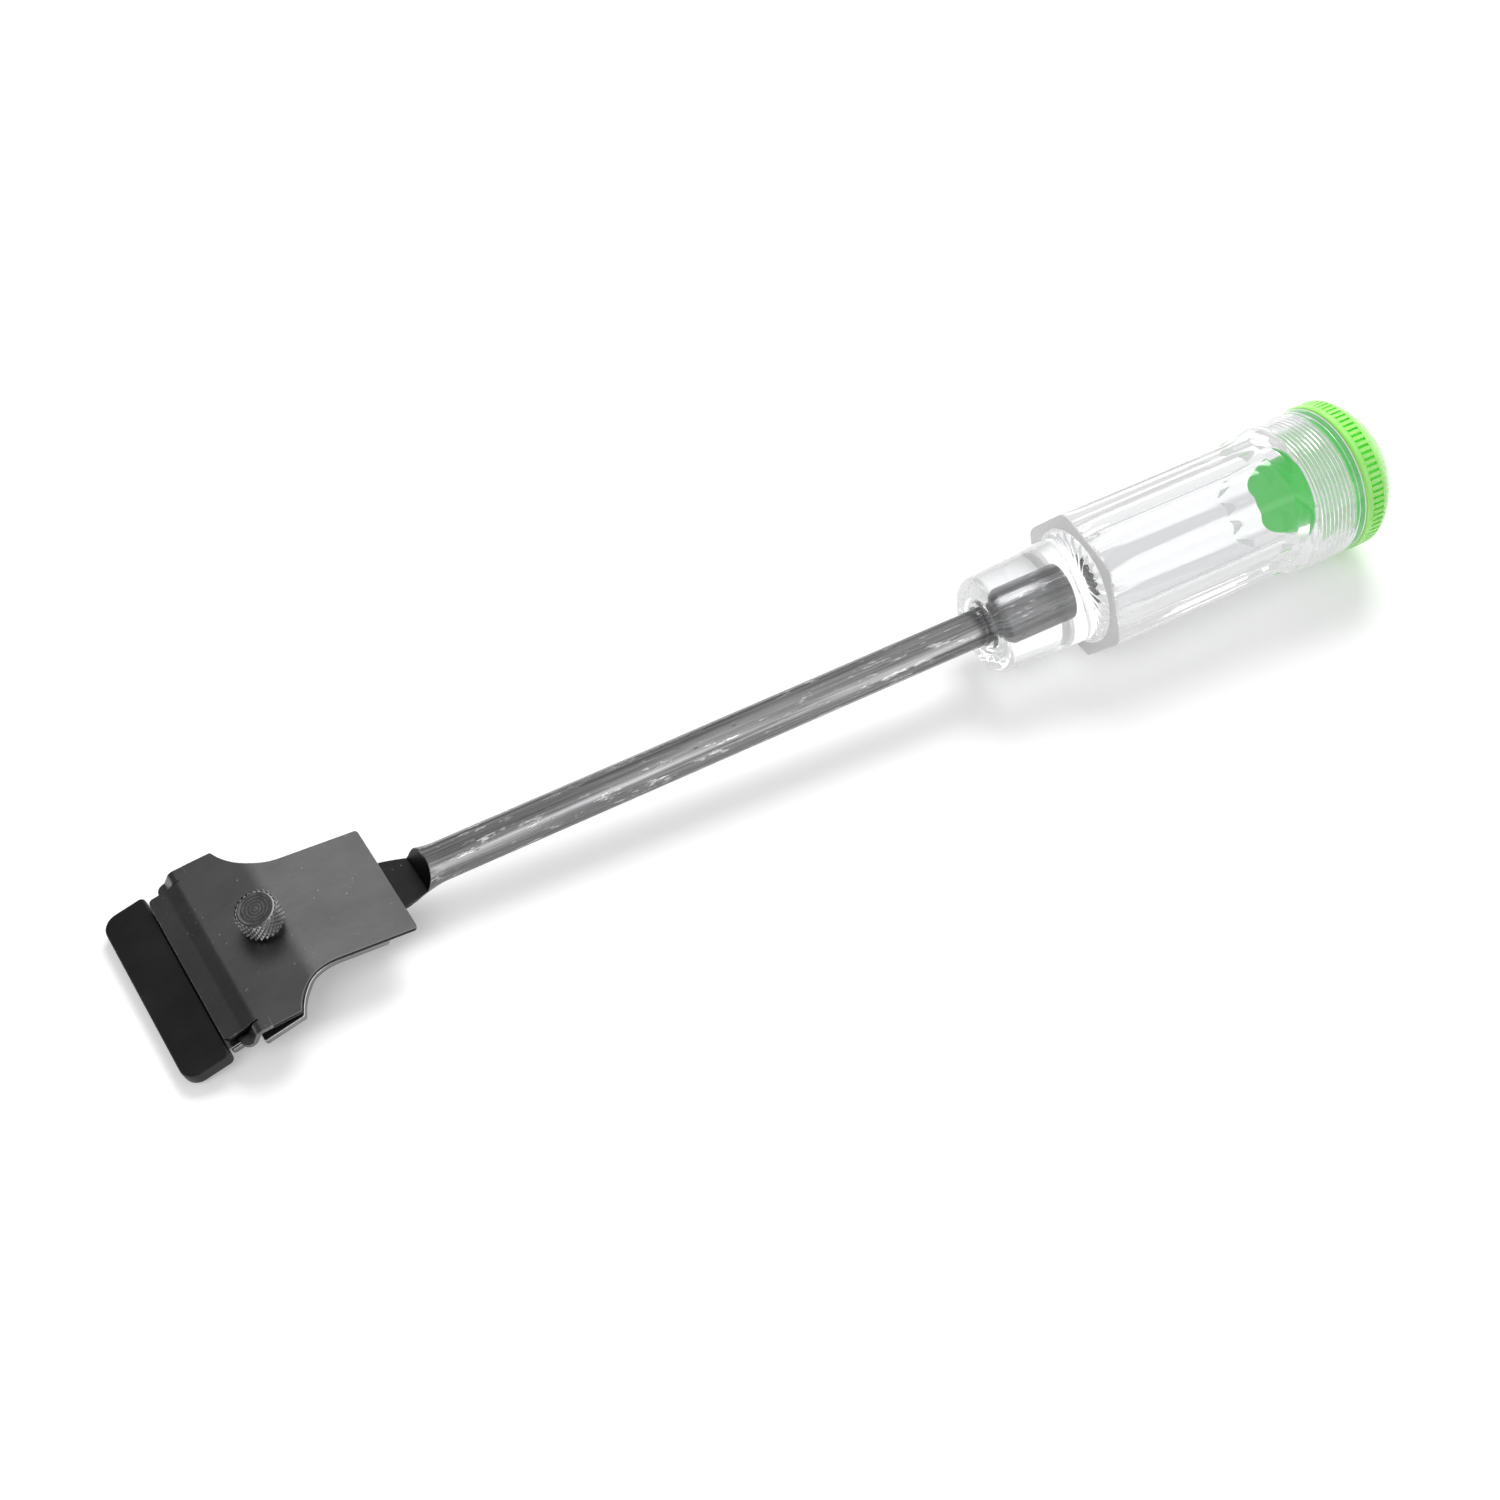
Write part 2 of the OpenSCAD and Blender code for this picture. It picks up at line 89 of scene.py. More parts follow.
def row(point: Sequence[float]) -> Vector:
    """Turns a point in the tool's own axes, in millimetres, into the shared frame, in metres."""
    return (Vector(point) + SHIFT) * MM


# Finishes


class NodeDesk:
    """Adds and links shader nodes in one material."""

    def __init__(self, name: str) -> None:
        """Starts a material with a Principled shader.

        Args:
            name: The material's name.
        """
        self.material = bpy.data.materials.new(name)
        self.material.use_nodes = True
        self.tree = self.material.node_tree
        self.tree.nodes.clear()
        self.output = self.tree.nodes.new("ShaderNodeOutputMaterial")
        self.shader = self.tree.nodes.new("ShaderNodeBsdfPrincipled")
        self.link(self.shader.outputs[0], self.output.inputs[0])
        self.object_coords = self.tree.nodes.new("ShaderNodeTexCoord").outputs["Object"]

    def set(self, **values: float | Colour) -> None:
        """Sets sockets of the shader.

        Args:
            values: A value for each socket; an underscore in a name stands for a space.
        """
        for name, value in values.items():
            socket = self.shader.inputs[name.replace("_", " ")]
            socket.default_value = (*value, 1.0) if isinstance(value, tuple) else value

    def link(self, source: Socket, target: Socket) -> None:
        """Links two sockets."""
        self.tree.links.new(source, target)

    def mapped(self, scale: Point) -> Socket:
        """Scales the Object coordinates.

        Args:
            scale: Repeats per metre along each axis.

        Returns:
            The scaled coordinates.
        """
        node = self.tree.nodes.new("ShaderNodeMapping")
        node.inputs["Scale"].default_value = scale
        self.link(self.object_coords, node.inputs["Vector"])
        return node.outputs[0]

    def noise(self, scale: Point, detail: float = 4.0, roughness: float = 0.55) -> Socket:
        """Adds noise over the piece.

        Args:
            scale: Repeats per metre along each axis.
            detail: Octaves of the noise.
            roughness: How strong its fine octaves are.

        Returns:
            The noise's factor socket.
        """
        node = self.tree.nodes.new("ShaderNodeTexNoise")
        node.inputs["Scale"].default_value = 1.0
        node.inputs["Detail"].default_value = detail
        node.inputs["Roughness"].default_value = roughness
        self.link(self.mapped(scale), node.inputs["Vector"])
        return node.outputs[0]

    def dots(self, scale: Point, low: float, high: float) -> Socket:
        """Scatters round dots over the piece.

        Args:
            scale: Dots per metre along each axis.
            low: Radius of a dot's core, as a share of the dots' spacing.
            high: Radius at which a dot has faded out.

        Returns:
            A socket that is 1 in a dot's core and 0 between the dots.
        """
        node = self.tree.nodes.new("ShaderNodeTexVoronoi")
        node.inputs["Scale"].default_value = 1.0
        self.link(self.mapped(scale), node.inputs["Vector"])
        return self.ranged(node.outputs["Distance"], low, high, 1.0, 0.0)

    def ranged(self, source: Socket, low: float, high: float, to_low: float, to_high: float) -> Socket:
        """Maps a value from one range to another, clamped.

        Args:
            source: The value.
            low: The value that becomes to_low.
            high: The value that becomes to_high.
            to_low: The result at low.
            to_high: The result at high.

        Returns:
            The mapped value.
        """
        node = self.tree.nodes.new("ShaderNodeMapRange")
        for index, value in zip(RANGE_INPUTS, (low, high, to_low, to_high)):
            node.inputs[index].default_value = value
        self.link(source, node.inputs[0])
        return node.outputs[0]

    def spread(self, noise: Socket, to_low: float, to_high: float) -> Socket:
        """Maps the usual range of a noise to another range."""
        return self.ranged(noise, NOISE_LOW, NOISE_HIGH, to_low, to_high)

    def patches(self, scale: Point, low: float, high: float, top: float = 1.0) -> Socket:
        """Patches of a coarse noise, with a strength of 0 up to low and of top from high on."""
        return self.ranged(self.noise(scale, 2.0), low, high, 0.0, top)

    def math(self, operation: str, first: Socket, second: Socket | float) -> Socket:
        """Adds one math node.

        Args:
            operation: The node's operation.
            first: Its first input.
            second: Its second input, or a number.

        Returns:
            The result.
        """
        node = self.tree.nodes.new("ShaderNodeMath")
        node.operation = operation
        self.link(first, node.inputs[0])
        if isinstance(second, (int, float)):
            node.inputs[1].default_value = second
        else:
            self.link(second, node.inputs[1])
        return node.outputs[0]

    def blend(self, factor: Socket, first: Colour | Socket, second: Colour) -> Socket:
        """Mixes two colours.

        Args:
            factor: 0 for the first colour, 1 for the second.
            first: The first colour, or a socket that gives it.
            second: The second colour.

        Returns:
            The mixed colour.
        """
        node = self.tree.nodes.new("ShaderNodeMix")
        node.data_type = "RGBA"
        self.link(factor, node.inputs[0])
        if isinstance(first, tuple):
            node.inputs[MIX_FIRST].default_value = (*first, 1.0)
        else:
            self.link(first, node.inputs[MIX_FIRST])
        node.inputs[MIX_SECOND].default_value = (*second, 1.0)
        return node.outputs[MIX_RESULT]

    def bump(self, height: Socket, distance: float, strength: float = 1.0) -> None:
        """Adds a bump to the shader, on top of any bump that is there.

        Args:
            height: The height socket.
            distance: The height of a full step, in metres.
            strength: How strongly the bump shows.
        """
        node = self.tree.nodes.new("ShaderNodeBump")
        node.inputs["Strength"].default_value = strength
        node.inputs["Distance"].default_value = distance
        self.link(height, node.inputs["Height"])
        before = self.shader.inputs["Normal"].links
        if before:
            self.link(before[0].from_socket, node.inputs["Normal"])
        self.link(node.outputs[0], self.shader.inputs["Normal"])

    def fade(self, depth: float, strength: float, colour: Colour = (1.0, 1.0, 1.0)) -> None:
        """Ends light paths that have bounced too often in a soft glow.

        Without it, clear plastic shows a hard tangle of far reflections.

        Args:
            depth: The number of bounces that still show the surface.
            strength: The glow's strength.
            colour: The glow's colour.
        """
        path = self.tree.nodes.new("ShaderNodeLightPath")
        glow = self.tree.nodes.new("ShaderNodeEmission")
        glow.inputs["Color"].default_value = (*colour, 1.0)
        glow.inputs["Strength"].default_value = strength
        joined = self.tree.nodes.new("ShaderNodeMixShader")
        self.link(self.math("GREATER_THAN", path.outputs["Ray Depth"], depth), joined.inputs[0])
        self.link(self.shader.outputs[0], joined.inputs[1])
        self.link(glow.outputs[0], joined.inputs[2])
        self.link(joined.outputs[0], self.output.inputs[0])

    def base(self, source: Socket) -> None:
        """Links the base colour."""
        self.link(source, self.shader.inputs["Base Color"])

    def rough(self, source: Socket) -> None:
        """Links the roughness."""
        self.link(source, self.shader.inputs["Roughness"])


@dataclass(frozen=True)
class ClearPlastic:
    """Clear moulded plastic with faint flow marks and a thin haze."""

    name: str = "clear_plastic"
    tint: Colour = (0.885, 0.892, 0.898)
    ior: float = 1.49
    haze: Point = (60, 160, 160)
    hazed: Span = (0.0, 0.06)
    ripple: Point = (30, 220, 220)
    ripple_height: float = 0.00001
    depth: float = 3.5
    glow: float = 0.72

    def build(self) -> Material:
        """Builds the material.

        Returns:
            The material.
        """
        desk = NodeDesk(self.name)
        desk.set(Base_Color=self.tint, Transmission_Weight=1.0, IOR=self.ior, Metallic=0.0)
        desk.rough(desk.ranged(desk.noise(self.haze, 3.0), 0.35, NOISE_HIGH, *self.hazed))
        desk.bump(desk.noise(self.ripple, 2.0), self.ripple_height, 0.5)
        desk.fade(self.depth, self.glow)
        return desk.material


@dataclass(frozen=True)
class FrostedPlastic:
    """The satin-cut face of the clear moulding."""

    name: str = "frosted_plastic"
    tint: Colour = (0.78, 0.77, 0.775)
    shade: float = 0.93
    ior: float = 1.49
    grain: Point = (900, 900, 900)
    grain_height: float = 0.00002
    mottle: Point = (120, 120, 120)
    rough: Span = (0.35, 0.55)

    def build(self) -> Material:
        """Builds the material.

        Returns:
            The material.
        """
        desk = NodeDesk(self.name)
        desk.set(Transmission_Weight=0.25, IOR=self.ior)
        grain = desk.noise(self.grain, 4.0)
        shaded = tuple(c * self.shade for c in self.tint)
        desk.base(desk.blend(desk.noise(self.mottle, 2.0), self.tint, shaded))
        desk.rough(desk.spread(grain, *self.rough))
        desk.bump(grain, self.grain_height, 0.4)
        return desk.material


@dataclass(frozen=True)
class GreenPlastic:
    """Bright moulded plastic, glossy, a little translucent."""

    name: str
    colour: Colour
    shade: Colour
    rough: float = 0.24
    depth: float | None = None
    glow: float = 0.72
    glow_colour: Colour = (0.86, 1.0, 0.88)
    cloud: Point = (90, 90, 90)
    grain: Point = (1400, 1400, 1400)
    grain_height: float = 0.00001
    scatter: Colour = (0.6, 1.0, 0.4)

    def build(self) -> Material:
        """Builds the material.

        Returns:
            The material.
        """
        desk = NodeDesk(self.name)
        desk.set(IOR=1.46, Subsurface_Weight=0.15, Subsurface_Scale=0.002)
        desk.set(Coat_Weight=0.25, Coat_Roughness=0.12)
        desk.shader.inputs["Subsurface Radius"].default_value = self.scatter
        cloud = desk.noise(self.cloud, 3.0)
        desk.base(desk.blend(desk.spread(cloud, 0.0, 1.0), self.colour, self.shade))
        grain = desk.noise(self.grain, 3.0)
        desk.rough(desk.spread(grain, self.rough - 0.04, self.rough + 0.08))
        desk.bump(grain, self.grain_height, 0.25)
        if self.depth is not None:
            desk.fade(self.depth, self.glow, self.glow_colour)
        return desk.material


@dataclass(frozen=True)
class DrawnSteel:
    """Round bar drawn along X, with long streaks, scratches and dark specks."""

    name: str = "drawn_steel"
    bright: Colour = (0.4, 0.4, 0.404)
    dark: Colour = (0.1, 0.1, 0.103)
    speck: Colour = (0.05, 0.05, 0.05)
    scratch: Colour = (0.85, 0.85, 0.85)
    streaks: Point = (14, 900, 900)
    streak_height: float = 0.00006
    bands: Point = (5, 260, 260)
    specks: Point = (180, 700, 700)
    nicks: Point = (150, 900, 900)
    nick_height: float = 0.00008
    grain: Point = (160, 1600, 1600)
    grain_height: float = 0.00003
    rough: Span = (0.36, 0.2)

    def build(self) -> Material:
        """Builds the material.

        Returns:
            The material.
        """
        desk = NodeDesk(self.name)
        desk.set(Metallic=1.0)
        streak = desk.noise(self.streaks, 6.0, 0.7)
        band = desk.noise(self.bands, 3.0, 0.6)
        lines = desk.ranged(streak, 0.34, 0.66, 0.0, 1.0)
        lines = desk.math("MULTIPLY", lines, desk.spread(band, 0.45, 1.0))
        colour = desk.blend(lines, self.dark, self.bright)
        dots = desk.dots(self.specks, 0.0, 0.16)
        spots = desk.math("MULTIPLY", dots, desk.patches((60, 200, 200), 0.5, 0.62))
        colour = desk.blend(spots, colour, self.speck)
        nicks = desk.ranged(desk.noise(self.nicks, 4.0, 0.75), 0.57, 0.66, 0.0, 1.0)
        worn = desk.math("MULTIPLY", nicks, desk.patches((45, 140, 140), 0.4, 0.56, 0.8))
        desk.base(desk.blend(worn, colour, self.scratch))
        desk.rough(desk.spread(streak, *self.rough))
        desk.bump(streak, self.streak_height, 0.55)
        desk.bump(desk.noise(self.grain, 3.0), self.grain_height, 0.3)
        desk.bump(nicks, self.nick_height, 0.5)
        return desk.material


@dataclass(frozen=True)
class BlackenedSteel:
    """Stamped steel with a black oxide skin: fine mottling, pinholes, light rubs and nicks."""

    name: str
    colour: Colour = (0.15, 0.15, 0.152)
    worn: Colour = (0.24, 0.24, 0.243)
    rough: float = 0.3
    pinhole: Colour = (0.4, 0.4, 0.4)
    scratch: Colour = (0.5, 0.5, 0.5)
    fine: Point = (1500, 1500, 1500)
    fine_height: float = 0.00003
    clouds: Point = (70, 110, 110)
    rubs: Point = (160, 1100, 400)
    pits: Point = (520, 520, 520)
    pit_height: float = 0.00008
    nicks: Point = (900, 260, 700)
    nick_height: float = 0.00004

    def build(self) -> Material:
        """Builds the material.

        Returns:
            The material.
        """
        desk = NodeDesk(self.name)
        desk.set(Metallic=0.95, IOR=1.5)
        fine = desk.noise(self.fine, 5.0, 0.65)
        cloud = desk.noise(self.clouds, 4.0, 0.6)
        rubs = desk.noise(self.rubs, 5.0, 0.7)
        colour = desk.blend(desk.ranged(cloud, 0.3, 0.75, 0.0, 0.5), self.colour, self.worn)
        colour = desk.blend(desk.ranged(rubs, 0.6, 0.72, 0.0, 0.35), colour, self.worn)
        pits = desk.dots(self.pits, 0.04, 0.16)
        pits = desk.math("MULTIPLY", pits, desk.patches((100, 100, 100), 0.44, 0.6, 0.8))
        colour = desk.blend(pits, colour, self.pinhole)
        nicks = desk.ranged(desk.noise(self.nicks, 4.0, 0.75), 0.66, 0.72, 0.0, 1.0)
        nicks = desk.math("MULTIPLY", nicks, desk.patches((110, 110, 110), 0.55, 0.62, 0.7))
        desk.base(desk.blend(nicks, colour, self.scratch))
        desk.rough(desk.ranged(fine, 0.25, 0.75, self.rough - 0.04, self.rough + 0.1))
        desk.bump(fine, self.fine_height, 0.5)
        desk.bump(pits, self.pit_height, 0.6)
        desk.bump(nicks, self.nick_height, 0.6)
        return desk.material


@dataclass(frozen=True)
class TurnedSteel:
    """Dark nickel on turned steel, with fine rings about the screw's axis."""

    name: str
    centre: Point
    tilt: float
    colour: Colour = (0.3, 0.3, 0.305)
    worn: Colour = (0.62, 0.62, 0.63)
    phase: float = 9000.0
    ring_height: float = 0.00004
    cloud: Point = (500, 500, 500)
    cloud_height: float = 0.00003
    rough: Span = (0.2, 0.42)

    def build(self) -> Material:
        """Builds the material.

        Returns:
            The material.
        """
        desk = NodeDesk(self.name)
        desk.set(Metallic=1.0)
        place = desk.tree.nodes.new("ShaderNodeMapping")
        place.vector_type = "TEXTURE"
        place.inputs["Location"].default_value = self.centre
        place.inputs["Rotation"].default_value = (0.0, self.tilt, 0.0)
        desk.link(desk.object_coords, place.inputs["Vector"])
        wave = desk.tree.nodes.new("ShaderNodeTexWave")
        wave.wave_type = "RINGS"
        wave.rings_direction = "Z"
        wave.inputs["Scale"].default_value = self.phase / WAVE_PHASE
        wave.inputs["Distortion"].default_value = 1.5
        wave.inputs["Detail"].default_value = 3.0
        wave.inputs["Detail Scale"].default_value = 2.0
        desk.link(place.outputs[0], wave.inputs["Vector"])
        rings = wave.outputs["Fac"]
        cloud = desk.noise(self.cloud, 5.0, 0.7)
        light = desk.math("MULTIPLY", rings, desk.ranged(cloud, 0.35, 0.7, 0.15, 1.0))
        desk.base(desk.blend(light, self.colour, self.worn))
        desk.rough(desk.spread(cloud, *self.rough))
        desk.bump(rings, self.ring_height, 0.5)
        desk.bump(cloud, self.cloud_height, 0.4)
        return desk.material


@dataclass(frozen=True)
class GroundSteel:
    """Ground steel, with grinding lines that run across one axis."""

    name: str
    colour: Colour = (0.55, 0.55, 0.56)
    shade: Colour = (0.42, 0.42, 0.43)
    lines: Point = (200, 5000, 200)
    line_height: float = 0.00001
    cloud: Point = (120, 120, 120)
    rough: Span = (0.18, 0.34)

    def build(self) -> Material:
        """Builds the material.

        Returns:
            The material.
        """
        desk = NodeDesk(self.name)
        desk.set(Metallic=1.0)
        lines = desk.noise(self.lines, 4.0, 0.6)
        cloud = desk.noise(self.cloud, 3.0)
        desk.base(desk.blend(desk.math("MULTIPLY", lines, cloud), self.colour, self.shade))
        desk.rough(desk.spread(lines, *self.rough))
        desk.bump(lines, self.line_height, 0.4)
        return desk.material


@dataclass(frozen=True)
class BlackPlastic:
    """Black moulded plastic with a satin skin, dust specks and faint scuffs."""

    name: str
    colour: Colour = (0.007, 0.007, 0.007)
    scuff: Colour = (0.02, 0.02, 0.021)
    dust: Colour = (0.2, 0.2, 0.2)
    clouds: Point = (60, 60, 60)
    fine: Point = (1300, 1300, 1300)
    fine_height: float = 0.00002
    specks: Point = (260, 260, 260)
    rough: Span = (0.38, 0.52)

    def build(self) -> Material:
        """Builds the material.

        Returns:
            The material.
        """
        desk = NodeDesk(self.name)
        desk.set(IOR=1.42)
        cloud = desk.noise(self.clouds, 4.0, 0.65)
        fine = desk.noise(self.fine, 4.0)
        specks = desk.dots(self.specks, 0.0, 0.06)
        specks = desk.math("MULTIPLY", specks, desk.patches((80, 80, 80), 0.52, 0.6))
        colour = desk.blend(desk.ranged(cloud, 0.35, 0.75, 0.0, 0.8), self.colour, self.scuff)
        desk.base(desk.blend(specks, colour, self.dust))
        desk.rough(desk.spread(fine, *self.rough))
        desk.bump(fine, self.fine_height, 0.35)
        return desk.material


# Mesh tools

# Points nearer to each other than this are one, in millimetres.
MERGE = 0.0005
# Points nearer to a cut than this lie on it, in millimetres.
ON_CUT = 0.0001
# Points of a flat face nearer to each other than this are one, in millimetres.
FLAT_MERGE = 1e-5
# Width of the flat band inside each rounded rim, which keeps the rim's shading off the flat.
FLAT_BAND = 0.08
# Distance of the extra cuts before and behind a bend, for the same reason.
BEND_LEAD = 0.3
# Marks of a slab's sides and of its upper rims, which carry the plates' painted shade, lit tone and painted
# highlight.
SIDE, UPPER_RIM = 1, 2
# Results of Blender's triangulation: triangles inside the outline, or faces that make a valid mesh.
TRIANGLES, VALID_FACES = 1, 4


class Solid:
    """A mesh under construction, in the tool's own millimetres."""

    def __init__(self) -> None:
        """Starts empty."""
        self.points: list[Point] = []
        self.faces: list[tuple[int, ...]] = []
        self.marks: list[int] = []

    def add(self, points: Sequence[Sequence[float]], faces: Sequence[Sequence[int]], mark: int = 0) -> None:
        """Adds a set of points and faces.

        Args:
            points: The new points.
            faces: Faces that count from the first new point.
            mark: The material index of these faces.
        """
        first = len(self.points)
        self.points.extend(tuple(p) for p in points)
        self.faces.extend(tuple(first + i for i in face) for face in faces)
        self.marks.extend([mark] * len(faces))

    def loft(self, rings: Sequence[Sequence[Point]], marks: Sequence[int] | None = None) -> None:
        """Skins a closed run of rings of equal count and closes both ends with a middle point.

        Args:
            rings: The rings, from one end to the other.
            marks: The material index of each band between two rings.
        """
        count = len(rings[0])
        marks = marks or [0] * (len(rings) - 1)
        first = len(self.points)
        for ring in rings:
            self.points.extend(tuple(p) for p in ring)
        for band in range(len(rings) - 1):
            low = first + band * count
            for i in range(count):
                j = (i + 1) % count
                self.faces.append((low + i, low + j, low + count + j, low + count + i))
                self.marks.append(marks[band])
        last = first + (len(rings) - 1) * count
        for ring, start, mark in ((rings[0], first, marks[0]), (rings[-1], last, marks[-1])):
            middle = len(self.points)
            self.points.append(tuple(sum((Vector(p) for p in ring), Vector()) / count))
            for i in range(count):
                self.faces.append((start + i, start + (i + 1) % count, middle))
                self.marks.append(mark)

    def revolve(self, profile: Sequence[Flat], count: int, marks: Sequence[int] | None = None) -> None:
        """Turns a profile about the tool's X axis.

        Args:
            profile: The profile's (x, radius) points.
            count: Points in each ring.
            marks: The material index of each band.
        """
        rings = [
            [(x, r * math.cos(TAU * i / count), r * math.sin(TAU * i / count)) for i in range(count)]
            for x, r in profile
        ]
        self.loft(rings, marks)

    def piece(
        self,
        name: str,
        materials: Sequence[Material],
        smooth: float = 40.0,
        bends: Sequence[float] = (),
        shape: Callable[[Point], Sequence[float]] | None = None,
    ) -> bpy.types.Object:
        """Makes the finished object, with its place in its mesh.

        Args:
            name: The piece's name.
            materials: Its materials, in the order of the face marks.
            smooth: Edges flatter than this many degrees are shaded smooth.
            bends: X values at which the flat mesh is cut, so that it can bend there.
            shape: Moves each point of the flat mesh to its place in the tool's own axes.

        Returns:
            The new object.
        """
        mesh = bpy.data.meshes.new(name)
        mesh.from_pydata(self.points, [], self.faces)
        mesh.polygons.foreach_set("material_index", self.marks)
        work = bmesh.new()
        work.from_mesh(mesh)
        bmesh.ops.remove_doubles(work, verts=work.verts, dist=MERGE)
        for x in bends:
            everything = [*work.verts, *work.edges, *work.faces]
            bmesh.ops.bisect_plane(work, geom=everything, dist=ON_CUT, plane_co=(x, 0, 0), plane_no=(1, 0, 0))
        bmesh.ops.recalc_face_normals(work, faces=work.faces)
        for vert in work.verts:
            vert.co = row(shape(tuple(vert.co)) if shape else vert.co)
        work.to_mesh(mesh)
        work.free()
        for polygon in mesh.polygons:
            polygon.use_smooth = True
        mesh.set_sharp_from_angle(angle=math.radians(smooth))
        for material in materials:
            mesh.materials.append(material)
        obj = bpy.data.objects.new(name, mesh)
        bpy.context.scene.collection.objects.link(obj)
        return obj


def fillet(corners: Sequence[tuple[float, float, float]], steps: int = 6) -> list[Flat]:
    """Rounds the corners of a closed outline.

    Args:
        corners: (x, y, radius) of each corner.
        steps: Chords in each rounding.

    Returns:
        The outline's points.
    """
    outline: list[Flat] = []
    count = len(corners)
    for i, (x, y, r) in enumerate(corners):
        here = Vector((x, y))
        if r <= 0:
            outline.append((x, y))
            continue
        to_last = (Vector(corners[i - 1][:2]) - here).normalized()
        to_next = (Vector(corners[(i + 1) % count][:2]) - here).normalized()
        half = to_last.angle(to_next) / 2
        reach = r / math.tan(half)
        centre = here + (to_last + to_next).normalized() * (r / math.sin(half))
        start, end = here + to_last * reach, here + to_next * reach
        a = math.atan2(*(start - centre).yx)
        turn = (math.atan2(*(end - centre).yx) - a + math.pi) % TAU - math.pi
        for k in range(steps + 1):
            b = a + turn * k / steps
            outline.append((centre.x + r * math.cos(b), centre.y + r * math.sin(b)))
    return outline


def arc(x: float, y: float, r: float, from_deg: float, to_deg: float, steps: int) -> list[Flat]:
    """Points along an arc.

    Args:
        x: First coordinate of the centre.
        y: Second coordinate of the centre.
        r: The radius.
        from_deg: Angle of the first point, in degrees.
        to_deg: Angle of the last point.
        steps: Chords in the arc.

    Returns:
        The points.
    """
    angles = [math.radians(from_deg + (to_deg - from_deg) * k / steps) for k in range(steps + 1)]
    return [(x + r * math.cos(a), y + r * math.sin(a)) for a in angles]


def refined(outline: Sequence[Flat], longest: float) -> list[Flat]:
    """Divides the long sides of an outline.

    Args:
        outline: The closed outline.
        longest: The length that no side exceeds.

    Returns:
        The same outline with more points.
    """
    result: list[Flat] = []
    for i, a in enumerate(outline):
        b = outline[(i + 1) % len(outline)]
        parts = max(1, math.ceil(math.dist(a, b) / longest))
        for k in range(parts):
            result.append((a[0] + (b[0] - a[0]) * k / parts, a[1] + (b[1] - a[1]) * k / parts))
    return result


def inset(outline: Sequence[Flat], depth: float) -> list[Flat]:
    """Moves an outline inwards.

    Args:
        outline: The closed outline, counter-clockwise.
        depth: The small distance that each side moves.

    Returns:
        The moved outline.
    """
    result: list[Flat] = []
    count = len(outline)
    for i, (x, y) in enumerate(outline):
        before, after = Vector(outline[i - 1]), Vector(outline[(i + 1) % count])
        here = Vector((x, y))
        n1 = Vector((-(here - before).y, (here - before).x)).normalized()
        n2 = Vector((-(after - here).y, (after - here).x)).normalized()
        mid = (n1 + n2).normalized()
        move = mid * (depth / max(mid.dot(n1), 0.5))
        result.append((x + move.x, y + move.y))
    return result


def slab(
    outline: Sequence[Flat], holes: Sequence[Sequence[Flat]], thick: float, edge: float, steps: int = 3,
) -> Solid:
    """A flat sheet with rounded rims.

    Args:
        outline: The sheet's outline, counter-clockwise.
        holes: Outlines of holes, clockwise.
        thick: The sheet's thickness.
        edge: The rounding of its rims.
        steps: Chords in each rounding.

    Returns:
        The closed solid, lying between z = 0 and z = thick.
    """
    solid = Solid()
    turns = [math.pi / 2 * k / steps for k in range(steps + 1)]
    levels = [(edge * (1 - math.sin(a)), edge * (1 - math.cos(a))) for a in turns]
    depth_in = edge + FLAT_BAND
    upper = [(depth, thick - z) for depth, z in reversed(levels)]
    stack = [(depth_in, 0.0), *levels, *upper, (depth_in, thick)]
    bands = range(len(stack) - 1)
    side = steps + 1
    for loop in (outline, *holes):
        count = len(loop)
        points: list[Point] = []
        for depth, z in stack:
            points.extend((x, y, z) for x, y in inset(loop, depth))
        faces = []
        marks = []
        for band in bands:
            low, high = band * count, (band + 1) * count
            for i in range(count):
                j = (i + 1) % count
                faces.append((low + i, low + j, high + j, high + i))
            mark = SIDE if band == side else UPPER_RIM if side < band < bands[-1] else 0
            marks.extend([mark] * count)
        solid.add(points, faces)
        solid.marks[-len(faces):] = marks
    loops = [inset(loop, depth_in) for loop in (outline, *holes)]
    flat = [Vector(p) for loop in loops for p in loop]
    edges, at = [], 0
    for loop in loops:
        edges.extend((at + i, at + (i + 1) % len(loop)) for i in range(len(loop)))
        at += len(loop)
    result = VALID_FACES if holes else TRIANGLES
    verts, _, faces, _, _, _ = geometry.delaunay_2d_cdt(flat, edges, [], result, FLAT_MERGE)
    for z in (0.0, thick):
        solid.add([(v.x, v.y, z) for v in verts], faces)
    return solid


